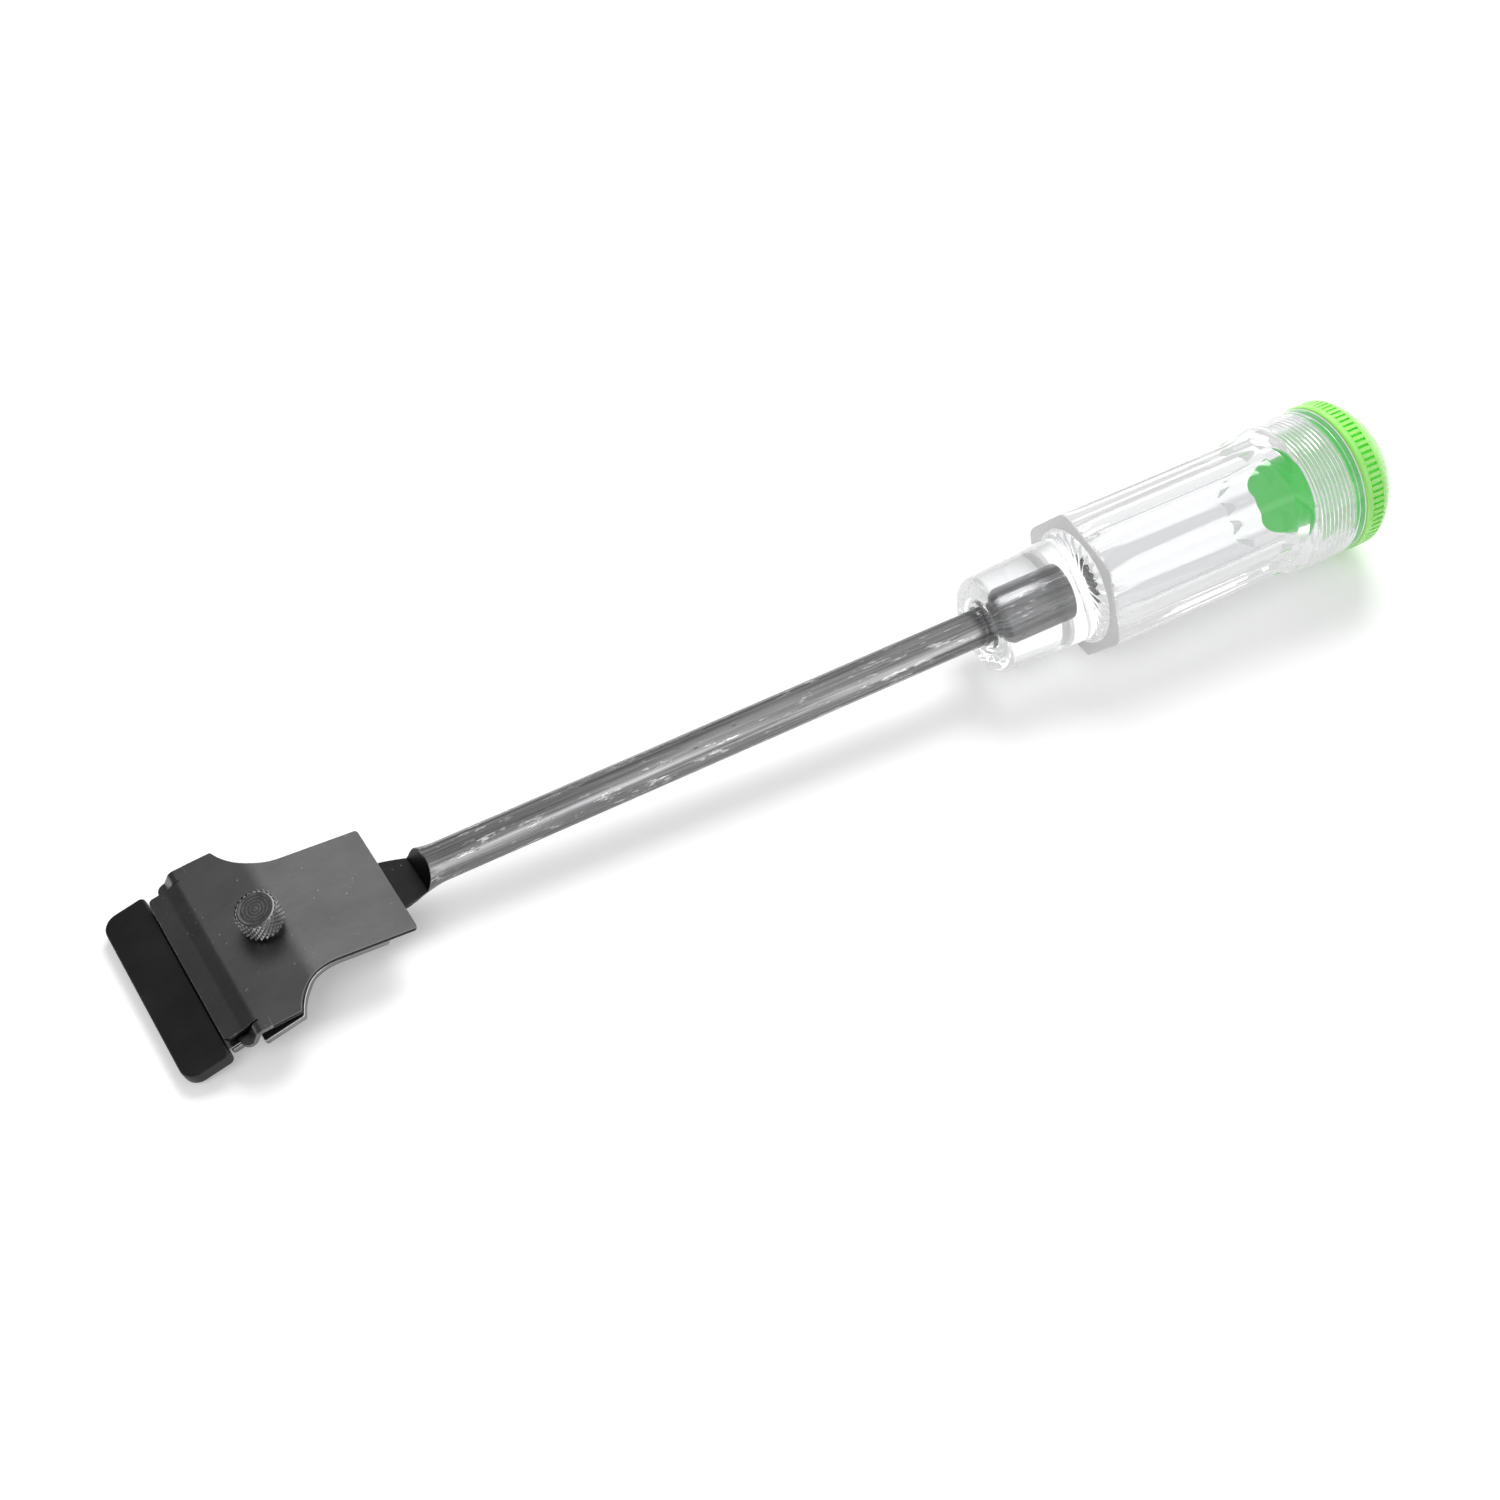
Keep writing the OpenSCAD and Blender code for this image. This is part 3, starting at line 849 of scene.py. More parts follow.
class BentLine:
    """The side view of a bent sheet: straight runs joined by round bends."""

    def __init__(self, origin: Flat, pitch: float, runs: Sequence[Run], thick: float, steps: int = 8) -> None:
        """Lays out the sheet's lower line.

        Args:
            origin: (x, z) of its lower rear corner in the tool's axes.
            pitch: Upward pitch of the first run, in degrees. The sheet runs towards -X.
            runs: The straight runs, each with the turn up after it.
            thick: The sheet's thickness.
            steps: Chords in each bend.
        """
        self.thick = thick
        self.cuts: list[float] = []
        x, z = origin
        heading = pitch
        at = 0.0
        # Each knot is the distance along the line, its x and z, and the heading there in degrees.
        self.knots: list[tuple[float, float, float, float]] = [(at, x, z, heading)]
        for length, turn, radius in runs:
            x -= length * math.cos(math.radians(heading))
            z += length * math.sin(math.radians(heading))
            at += length
            self.knots.append((at, x, z, heading))
            if turn:
                r = radius + thick if turn > 0 else radius
                chord = 2 * r * math.sin(math.radians(abs(turn)) / steps / 2)
                for _ in range(steps):
                    heading += turn / steps / 2
                    x -= chord * math.cos(math.radians(heading))
                    z += chord * math.sin(math.radians(heading))
                    heading += turn / steps / 2
                    at += chord
                    self.knots.append((at, x, z, heading))
                    self.cuts.append(at)
                end = self.cuts[-1]
                begin = end - chord * steps
                self.cuts.extend((end + BEND_LEAD, begin, begin - BEND_LEAD))

    def place(self, u: float, y: float, w: float) -> Point:
        """Puts a point of the flat sheet in its bent place.

        Args:
            u: Its distance along the line.
            y: Its place across the sheet.
            w: Its height over the line.

        Returns:
            The point in the tool's own axes.
        """
        knots = self.knots
        k = 1
        while k < len(knots) - 1 and knots[k][0] < u:
            k += 1
        a, b = knots[k - 1], knots[k]
        t = (u - a[0]) / (b[0] - a[0])
        heading = math.radians(a[3] + (b[3] - a[3]) * min(max(t, 0.0), 1.0))
        x, z = a[1] + (b[1] - a[1]) * t, a[2] + (b[2] - a[2]) * t
        return x + w * math.sin(heading), y, z + w * math.cos(heading)

    def along(self, x: float) -> float:
        """Finds a place along the sheet by halving.

        Args:
            x: A place along the tool.

        Returns:
            The distance along the line at which the sheet's upper side reaches it.
        """
        low, high = 0.0, self.knots[-1][0]
        for _ in range(50):
            mid = (low + high) / 2
            low, high = (mid, high) if self.place(mid, 0.0, self.thick)[0] > x else (low, mid)
        return (low + high) / 2

    def unrolled(self, plan: Sequence[Flat], longest: float = 1.2) -> list[Flat]:
        """Unrolls a plan outline on to the flat sheet.

        Args:
            plan: The outline seen from above, in the tool's (x, y).
            longest: The length that none of its sides exceeds.

        Returns:
            The outline on the flat sheet, counter-clockwise.
        """
        flat = refined([(self.along(x), y) for x, y in plan], longest)
        area = sum(a[0] * b[1] - b[0] * a[1] for a, b in zip(flat, flat[1:] + flat[:1]))
        return flat if area > 0 else flat[::-1]


# Geometry Nodes


class Tooth(Enum):
    """The shape that is repeated round a cylinder."""

    DIAMOND = "diamond"
    RIB = "rib"


class NodeBench:
    """Builds one Geometry Nodes tree with named inputs and turns it into plain meshes."""

    KINDS = {"Float": "NodeSocketFloat", "Int": "NodeSocketInt", "Material": "NodeSocketMaterial"}

    def __init__(self, name: str, inputs: dict[str, str]) -> None:
        """Starts a tree.

        Args:
            name: The tree's name.
            inputs: The kind of each named input.
        """
        self.tree = bpy.data.node_groups.new(name, "GeometryNodeTree")
        self.ids: dict[str, str] = {}
        self.tree.interface.new_socket(name="Geometry", in_out="OUTPUT", socket_type="NodeSocketGeometry")
        for label, kind in inputs.items():
            socket = self.tree.interface.new_socket(name=label, in_out="INPUT", socket_type=self.KINDS[kind])
            self.ids[label] = socket.identifier
        self.given = self.tree.nodes.new("NodeGroupInput")
        self.result = self.tree.nodes.new("NodeGroupOutput")

    def node(self, kind: str, settings: dict[str, str] | None = None, **sockets: object) -> bpy.types.Node:
        """Adds a node.

        Args:
            kind: The node's type.
            settings: Its properties.
            sockets: Values or source sockets for inputs; an underscore stands for a space.

        Returns:
            The node.
        """
        node = self.tree.nodes.new(kind)
        for key, value in (settings or {}).items():
            setattr(node, key, value)
        for key, value in sockets.items():
            self.feed(node.inputs[key.replace("_", " ")], value)
        return node

    def feed(self, socket: Socket, value: object) -> None:
        """Links or sets one input.

        Args:
            socket: The input.
            value: A source socket or a value.
        """
        if isinstance(value, Socket):
            self.tree.links.new(value, socket)
        else:
            socket.default_value = value

    def math(self, operation: str, first: object, second: object = 0.0) -> Socket:
        """Adds one math node.

        Args:
            operation: The node's operation.
            first: A socket or number.
            second: A socket or number.

        Returns:
            The result.
        """
        node = self.node("ShaderNodeMath", {"operation": operation})
        self.feed(node.inputs[0], first)
        self.feed(node.inputs[1], second)
        return node.outputs[0]

    def vector(self, x: object, y: object, z: object) -> Socket:
        """Joins three numbers or sockets to a vector."""
        return self.node("ShaderNodeCombineXYZ", None, X=x, Y=y, Z=z).outputs[0]

    def finish(self, geometry_socket: Socket) -> None:
        """Ends the tree in Realize Instances and Set Material.

        Args:
            geometry_socket: The geometry to end with.
        """
        real = self.node("GeometryNodeRealizeInstances")
        self.tree.links.new(geometry_socket, real.inputs[0])
        paint = self.node("GeometryNodeSetMaterial", None, Material=self.given.outputs["Material"])
        self.tree.links.new(real.outputs[0], paint.inputs["Geometry"])
        self.tree.links.new(paint.outputs[0], self.result.inputs[0])

    def bake(self, name: str, place: Matrix, values: dict[str, object]) -> bpy.types.Object:
        """Runs the tree with given inputs and keeps the result as a plain mesh.

        Args:
            name: The piece's name.
            place: Where the tree's own axes lie in the shared frame.
            values: A value for each named input.

        Returns:
            The finished object.
        """
        carrier = bpy.data.objects.new(name, bpy.data.meshes.new(name))
        bpy.context.scene.collection.objects.link(carrier)
        modifier = carrier.modifiers.new("repeat", "NODES")
        modifier.node_group = self.tree
        for label, value in values.items():
            modifier[self.ids[label]] = value
        graph = bpy.context.evaluated_depsgraph_get()
        mesh = bpy.data.meshes.new_from_object(carrier.evaluated_get(graph), depsgraph=graph)
        carrier.modifiers.remove(modifier)
        mesh.transform(place)
        carrier.data = mesh
        return carrier


def tooth_tree(tooth: Tooth) -> NodeBench:
    """Builds a tree that repeats one tooth in staggered rows round the Z axis.

    Args:
        tooth: The tooth's shape.

    Returns:
        The tree's bench.
    """
    bench = NodeBench(f"{tooth.value}_rows", {
        "Columns": "Int", "Rows": "Int", "Radius": "Float", "Row Pitch": "Float", "Width": "Float",
        "Length": "Float", "Height": "Float", "Stagger": "Float", "Material": "Material",
    })
    given = bench.given.outputs
    index = bench.node("GeometryNodeInputIndex").outputs[0]
    line = bench.math("FLOOR", bench.math("DIVIDE", bench.math("ADD", index, 0.5), given["Columns"]))
    column = bench.math("SUBTRACT", index, bench.math("MULTIPLY", line, given["Columns"]))
    offset = bench.math("MULTIPLY", bench.math("MODULO", line, 2.0), given["Stagger"])
    turn = bench.math("DIVIDE", bench.math("ADD", column, offset), given["Columns"])
    angle = bench.math("MULTIPLY", turn, TAU)
    middle = bench.math("MULTIPLY", bench.math("SUBTRACT", given["Rows"], 1.0), 0.5)
    height = bench.math("MULTIPLY", bench.math("SUBTRACT", line, middle), given["Row Pitch"])
    place = bench.vector(
        bench.math("MULTIPLY", bench.math("COSINE", angle), given["Radius"]),
        bench.math("MULTIPLY", bench.math("SINE", angle), given["Radius"]), height)
    count = bench.math("MULTIPLY", given["Columns"], given["Rows"])
    points = bench.node("GeometryNodePoints", None, Count=count, Position=place)
    if tooth is Tooth.DIAMOND:
        shape = bench.node(
            "GeometryNodeMeshCone", {"fill_type": "NGON"}, Vertices=4, Side_Segments=1, Fill_Segments=1,
            Radius_Top=0.12, Radius_Bottom=1.0, Depth=1.0)
        outwards = (0.0, math.pi / 2, 0.0)
    else:
        shape = bench.node("GeometryNodeMeshCube", None, Size=(2.0, 2.0, 2.0))
        outwards = (0.0, 0.0, 0.0)
    turned = bench.node("GeometryNodeTransform", None, Geometry=shape.outputs["Mesh"], Rotation=outwards)
    size = bench.vector(given["Height"], given["Width"], given["Length"])
    sized = bench.node("GeometryNodeTransform", None, Geometry=turned.outputs[0], Scale=size)
    spread = bench.node(
        "GeometryNodeInstanceOnPoints", None, Points=points.outputs[0], Instance=sized.outputs[0],
        Rotation=bench.vector(0.0, 0.0, angle))
    bench.finish(spread.outputs[0])
    return bench


def thread_tree() -> NodeBench:
    """Builds a tree that winds the ridge of a screw thread round the Z axis.

    Returns:
        The tree's bench.
    """
    bench = NodeBench("thread_turns", {
        "Turns": "Float", "Radius": "Float", "Pitch": "Float", "Ridge": "Float", "Material": "Material",
    })
    given = bench.given.outputs
    tall = bench.math("MULTIPLY", given["Turns"], given["Pitch"])
    spiral = bench.node(
        "GeometryNodeCurveSpiral", None, Resolution=48, Rotations=given["Turns"],
        Start_Radius=given["Radius"], End_Radius=given["Radius"], Height=tall)
    rim = bench.node("GeometryNodeCurvePrimitiveCircle", None, Resolution=4, Radius=given["Ridge"])
    swept = bench.node(
        "GeometryNodeCurveToMesh", None,
        Curve=spiral.outputs[0], Profile_Curve=rim.outputs[0], Fill_Caps=True)
    bench.finish(swept.outputs[0])
    return bench


# Sub-assemblies

Radius = float | Callable[[float, float], float]
# A ring's x, its radius and the mark of the band before it.
Station = tuple[float, Radius, int]
# Turns a tree's Z axis along the tool's X axis.
ALONG_X = Matrix(((0, 0, 1), (1, 0, 0), (0, 1, 0)))
# Mark of a piece's second finish.
SECOND = 1
# Pitch of the head in front of the knee and behind it, in degrees.
PITCH_FRONT, PITCH_REAR = 16.0, 5.0


def clamped(value: float) -> float:
    """A value kept between 0 and 1."""
    return min(1.0, max(0.0, value))


def mount(obj: bpy.types.Object, body: str, slot: str, *nodes: str) -> None:
    """Rides a piece on its body and hides the CAD nodes that it stands for.

    Args:
        obj: The piece.
        body: The body that it moves with.
        slot: Not used.
        nodes: The CAD nodes that it replaces.
    """
    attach(obj, body)
    if nodes:
        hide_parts(*nodes)
    log.info("%s rides on %s, %d faces", obj.name, body, len(obj.data.polygons))


def dress(node: str, finish: Material) -> None:
    """Gives a CAD node that stays in sight its finish.

    Args:
        node: The node's name.
        finish: Its finish.
    """
    obj = frame["nodes"][node]
    obj.data.materials.clear()
    obj.data.materials.append(finish)
    log.info("%s keeps its own shape in %s", node, finish.name)


def on_axis(x: float) -> Matrix:
    """Places a tree's Z axis along the tool's X axis, with its middle at x."""
    return Matrix.Translation(row((x, 0, 0))) @ ALONG_X.to_4x4()


@dataclass
class Handle:
    """The clear hollow handle: neck, six-sided grip, collar and threaded mouth."""

    neck_length: float = 23.7
    neck_front: float = 10.5
    neck_rear: float = 11.7
    neck_round: float = 1.8
    foot: float = 13.0
    foot_length: float = 2.5
    flat: float = 15.0
    flats: int = 6
    turn: float = 7.0
    slope_x: float = 71.9
    collar_x: float = 77.4
    collar: float = 16.7
    past_collar: float = 0.5
    corner: float = 0.5
    mouth_x: float = 89.7
    thread_length: float = 10.7
    thread_steps: int = 96
    crest: float = 11.35
    root: float = 11.8
    pitch: float = 1.1
    cavity: float = 10.5
    cavity_x: float = 25.8
    cavity_rear_x: float = 78.0
    pleats: int = 22
    pleat: float = 0.08
    count: int = 264
    # (x, radius) of the neck's front face: the socket round the shaft and the two grooves about it.
    face: tuple[Flat, ...] = (
        (0.9, 0.5), (0.9, 4.1), (0.8, 4.25), (0.15, 4.8), (0.0, 5.0), (0.1, 5.2), (0.9, 5.45), (1.1, 5.8),
        (0.9, 6.15), (0.1, 6.4), (0.0, 6.6), (0.0, 7.6), (0.0, 8.5),
    )
    # (distance before the mouth's face, radius) of the collar and its rim, from the outside in.
    rim: tuple[Flat, ...] = (
        (9.0, 16.7), (2.0, 16.7), (0.7, 16.7), (0.3, 16.6), (0.1, 16.4), (0.0, 16.1), (0.0, 14.0),
        (0.0, 12.4), (0.2, 12.0),
    )
    # (distance behind cavity_rear_x, radius) of the step between the thread and the cavity.
    step: tuple[Flat, ...] = ((0.5, 11.1), (0.3, 10.7), (0.0, 10.5))
    # (distance behind cavity_x, radius) of the cavity's closed end.
    closed_end: tuple[Flat, ...] = (
        (0.6, 9.9), (0.0, 9.0), (-0.8, 7.6), (-1.4, 6.0), (-1.8, 4.3), (-2.0, 2.4), (-2.1, 0.5),
    )

    def grip(self, angle: float, x: float) -> float:
        """Finds the outside of the grip.

        Args:
            angle: An angle from +Y towards +Z.
            x: A place along the grip.

        Returns:
            The radius there: that of the flat, or of the collar where that is less, with the corner softened.
        """
        step = TAU / self.flats
        phi = ((angle - math.radians(self.turn)) % step) - step / 2
        rise = max((x - self.slope_x) / (self.collar_x - self.slope_x), 0.0)
        cut = (self.flat + (self.collar + self.past_collar - self.flat) * rise) / math.cos(phi)
        near = max(self.corner - abs(self.collar - cut), 0.0) / self.corner
        return min(self.collar, cut) - near * near * self.corner / 4

    def thread(self, angle: float, x: float) -> float:
        """Finds the wall of the threaded mouth.

        Args:
            angle: An angle from +Y towards +Z.
            x: A place along the mouth.

        Returns:
            The radius there.
        """
        phase = (x / self.pitch - angle / TAU) % 1.0
        wave = 0.5 + 0.5 * math.cos(TAU * phase)
        fade = clamped(x - self.mouth_x + self.thread_length) * clamped((self.mouth_x - 0.6 - x) / 0.8)
        return self.root - (self.root - self.crest) * wave * fade

    def pleated(self, radius: float) -> Callable[[float, float], float]:
        """A radius that swells and shrinks round the cavity's closed end."""
        return lambda angle, x: radius * (1 + self.pleat * abs(math.sin(self.pleats * angle / 2)))

    def neck_stations(self) -> list[Station]:
        """The rings of the neck, from the middle of its face to the shoulder.

        Returns:
            Rows of the rings, in order.
        """
        stations: list[Station] = [(x, r, 0) for x, r in self.face]
        quarter = [math.pi / 2 * k / 8 for k in range(1, 9)]
        inner = self.neck_front - self.neck_round
        stations += [
            (self.neck_round - self.neck_round * math.cos(a), inner + self.neck_round * math.sin(a), 0)
            for a in quarter
        ]
        foot_x = self.neck_length - self.foot_length
        for k in range(1, 13):
            part = k / 12
            x = self.neck_round + (foot_x - self.neck_round) * part
            stations.append((x, self.neck_front + (self.neck_rear - self.neck_front) * part, 0))
        flare = self.foot - self.neck_rear
        stations += [
            (foot_x + self.foot_length * math.sin(a), self.neck_rear + flare * (1 - math.cos(a)), 0)
            for a in quarter
        ]
        return stations

    def grip_stations(self) -> list[Station]:
        """The rings of the grip, from the frosted shoulder to the collar.

        Returns:
            Rows of the rings, in order.
        """
        edge = self.neck_length
        stations: list[Station] = [
            (edge, lambda a, x: self.grip(a, x) - 0.3, SECOND),
            (edge + 0.08, lambda a, x: self.grip(a, x) - 0.1, SECOND),
            (edge + 0.3, self.grip, SECOND),
        ]
        stations += [(edge + 0.3 + (self.slope_x - edge - 0.6) * k / 12, self.grip, 0) for k in range(1, 13)]
        stations.append((self.slope_x, self.grip, 0))
        rise = self.collar_x + 1.0 - self.slope_x
        return stations + [(self.slope_x + rise * k / 30, self.grip, 0) for k in range(1, 31)]

    def inner_stations(self) -> list[Station]:
        """The rings of the mouth and the hollow, from the collar's rim in to the cavity's closed end.

        Returns:
            Rows of the rings, in order.
        """
        stations: list[Station] = [(self.mouth_x - back, r, 0) for back, r in self.rim]
        for k in range(self.thread_steps + 1):
            along = (self.thread_length - 0.3) * k / self.thread_steps
            stations.append((self.mouth_x - 0.5 - along, self.thread, 0))
        rear = self.cavity_rear_x
        stations += [(rear + back, r, 0) for back, r in self.step]
        stations += [(rear + (self.cavity_x + 1.0 - rear) * k / 8, self.cavity, 0) for k in range(1, 9)]
        return stations + [(self.cavity_x + back, self.pleated(r), 0) for back, r in self.closed_end]

    def build(self, clear: Material, frosted: Material) -> None:
        """Builds the handle.

        Args:
            clear: The polished finish.
            frosted: The finish of the shoulder's face.
        """
        stations = self.neck_stations() + self.grip_stations() + self.inner_stations()
        angles = [TAU * i / self.count for i in range(self.count)]
        rings: list[list[Point]] = []
        for x, radius, _ in stations:
            radii = [radius(a, x) if callable(radius) else radius for a in angles]
            rings.append([(x, r * math.cos(a), r * math.sin(a)) for a, r in zip(angles, radii)])
        solid = Solid()
        solid.loft(rings, [mark for _, _, mark in stations[1:]])
        mount(solid.piece("handle_moulding", [clear, frosted], 30), "tool", "clear_plastic", "handle")


@dataclass
class EndCap:
    """The green end cap: a domed shell with a slotted rim, and the plug that screws into the handle."""

    radius: float = 16.9
    start: float = 89.7
    rim: float = 4.9
    dome: float = 8.9
    slots: int = 72
    rib_x: float = 3.0
    boss: float = 8.6
    boss_x: float = 76.2
    boss_round: float = 1.2
    thread_x: float = 79.0
    thread_core: float = 10.7
    thread_pitch: float = 1.1
    # (distance behind start, radius) of the shell's inside, from its middle to its front face.
    inside: tuple[Flat, ...] = (
        (1.7, 0.4), (1.7, 12.0), (1.6, 15.1), (0.1, 15.15), (0.03, 15.4), (0.03, 16.4),
    )
    # (distance behind start, depth under the radius) of the slotted band in the rim.
    band: tuple[Flat, ...] = ((1.5, 0.0), (1.6, 0.08), (1.7, 0.45), (4.3, 0.45), (4.4, 0.08), (4.5, 0.02))

    def build(self, shell: Material, shaded_groove: Material, plug: Material, pale: Material) -> None:
        """Builds the shell, its ribs, the plug and its thread.

        Args:
            shell: The finish of the outside.
            shaded_groove: Painted shade: the darker green between the ribs, where the slots lie in shade.
            plug: The finish of the plug.
            pale: Painted highlight: a pale green on the plug's threaded wall, standing in for light reflected
                off it.
        """
        r, s = self.radius, self.start
        sphere = (r * r + self.dome * self.dome) / (2 * self.dome)
        profile: list[Flat] = [(s + back, q) for back, q in self.inside]
        profile += arc(s + 0.53, r - 0.5, 0.5, 180, 90, 5)
        first = len(profile) + 1
        profile += [(s + back, r - depth) for back, depth in self.band]
        top = math.degrees(math.asin(r / sphere))
        profile += arc(s + self.rim + self.dome - sphere, 0.0, sphere, top, 1.2, 26)[1:]
        # The bands between the ribs take the painted shade green.
        marks = [SECOND if first <= k < first + 3 else 0 for k in range(len(profile) - 1)]
        solid = Solid()
        solid.revolve(profile, 192, marks)
        mount(solid.piece("cap_dome", [shell, shaded_groove], 35), "cap", "green_plastic", "cap_shell")
        ribs = tooth_tree(Tooth.RIB).bake("cap_rim_ribs", on_axis(s + self.rib_x), {
            "Columns": self.slots, "Rows": 1, "Radius": (r - 0.32) * MM, "Row Pitch": 0.001,
            "Width": 0.42 * MM, "Length": 1.4 * MM, "Height": 0.3 * MM, "Stagger": 0.0, "Material": shell,
        })
        mount(ribs, "cap", "green_plastic")
        self.plug(plug, pale)

    def plug(self, finish: Material, pale: Material) -> None:
        """Builds the plug with its thread.

        Args:
            finish: The finish of the plug.
            pale: Painted highlight: a pale green on its threaded wall and thread.
        """
        x0, x1, s, b = self.boss_x, self.thread_x, self.start, self.boss
        edge, core = self.boss_round, self.thread_core
        profile: list[Flat] = [(x0, 0.5), (x0, b - edge), *arc(x0 + edge, b - edge, edge, 180, 90, 6)]
        profile += [(x1 - 0.4, b), (x1, b + 0.4), (x1 + 0.3, core), (x1 + 10.0, core)]
        wall = len(profile) - 2
        profile += [(x1 + 10.6, 10.9), (s, 14.8), (s + 1.5, 15.0), (s + 1.6, 14.5), (s + 1.6, 7.0)]
        profile += [(x0 + 2.0, 6.8), (x0 + 1.8, 6.0), (x0 + 1.8, 0.5)]
        solid = Solid()
        # The threaded wall takes the painted highlight green.
        solid.revolve(profile, 128, [SECOND if k == wall else 0 for k in range(len(profile) - 1)])
        mount(solid.piece("cap_plug_body", [finish, pale], 35), "plug", "green_plug", "cap_plug")
        turns = thread_tree().bake("cap_plug_thread", on_axis(x1 + 0.6), {
            "Turns": 8.6, "Radius": (core + 0.05) * MM, "Pitch": self.thread_pitch * MM, "Ridge": 0.4 * MM,
            "Material": pale,
        })
        for polygon in turns.data.polygons:
            polygon.use_smooth = False
        mount(turns, "plug", "green_plug")


@dataclass
class Shaft:
    """The round bar with its forged flat tang."""

    radius: float = 3.97
    rear_x: float = 20.0
    flare_x: float = -126.0
    flare_length: float = 12.0
    ramp_top: float = -129.2
    ramp_foot: float = -131.0
    plate_x: float = -141.5
    tip_x: float = -156.0
    tip_round: float = 1.2
    half_front: float = 6.1
    count: int = 72

    def stations(self) -> list[float]:
        """The places of the rings, close together where the ramp rises and where the tang flares.

        Returns:
            Their places along the shaft.
        """
        bar = [self.rear_x - 0.02, self.rear_x - 0.4, 10.0, 0.0]
        bar += [-20.0, -40.0, -60.0, -80.0, -100.0, -115.0, -124.0]
        bar += [-125.0 - 0.5 * k for k in range(8)]
        ramp = [-129.0 - 0.15 * k for k in range(1, 18)]
        tang = [-132.0 - 0.5 * k for k in range(20)]
        return bar + ramp + tang + [-146.0, -150.0, -154.0, -155.2, -155.8, -156.0]

    def flat(self, x: float) -> float:
        """Height of the tang's flat under the lower plate."""
        return -0.105 + (self.plate_x - x) * math.tan(math.radians(PITCH_REAR))

    def top(self, x: float) -> float:
        """Finds how high the bar may stand.

        Args:
            x: A place along the bar.

        Returns:
            The height of the flat, of the ramp up from it or of the round bar.
        """
        if x <= self.ramp_foot:
            return self.flat(x)
        if x >= self.ramp_top:
            return self.radius
        foot = self.flat(self.ramp_foot)
        part = (x - self.ramp_foot) / (self.ramp_top - self.ramp_foot)
        return foot + (self.radius + 0.4 - foot) * part ** 1.25

    def ring(self, x: float) -> list[Point]:
        """Lays out one ring of the bar.

        Args:
            x: Its place along the bar.

        Returns:
            Its points, from round in the bar to nearly square in the tang.
        """
        flare = clamped((self.flare_x - x) / self.flare_length)
        flare = flare * flare * (3 - 2 * flare)
        half = self.radius + (self.half_front - self.radius) * flare
        tip = self.tip_x + 1.0
        if x < tip:
            half -= self.tip_round * (tip - x) ** 2
        end = 0.35 / 8 if x > self.rear_x - 0.1 else 0.0
        low = -self.radius + max(0.0, self.plate_x - x) * math.tan(math.radians(PITCH_REAR)) + 0.3 * flare
        mid, tall = (self.radius + low) / 2, (self.radius - low) / 2
        power = 1.0 - 0.45 * flare
        top = self.top(x)
        points = []
        for i in range(self.count):
            c, s = math.cos(TAU * i / self.count), math.sin(TAU * i / self.count)
            y = half * math.copysign(abs(c) ** power, c)
            z = mid + tall * math.copysign(abs(s) ** power, s)
            points.append((x, y * (1 - end), min(z * (1 - end), top)))
        return points

    def build(self, finish: Material, black: Material) -> None:
        """Builds the shaft.

        Args:
            finish: The finish of the round bar.
            black: The finish of the forged tang.
        """
        stations = self.stations()
        rings = [self.ring(x) for x in stations]
        forged = [
            [x < self.ramp_foot - 1.0 or (x < self.ramp_top and p[2] > self.top(x) - 0.001) for p in ring]
            for x, ring in zip(stations, rings)
        ]
        solid = Solid()
        solid.loft(rings)
        for band, (rear, front) in enumerate(zip(forged, forged[1:])):
            for i in range(self.count):
                near = (rear[i], rear[i - self.count + 1], front[i], front[i - self.count + 1])
                solid.marks[band * self.count + i] = SECOND if sum(near) > 2 else 0
        mount(solid.piece("shaft_bar", [finish, black], 32), "tool", "shaft_steel", "shaft")


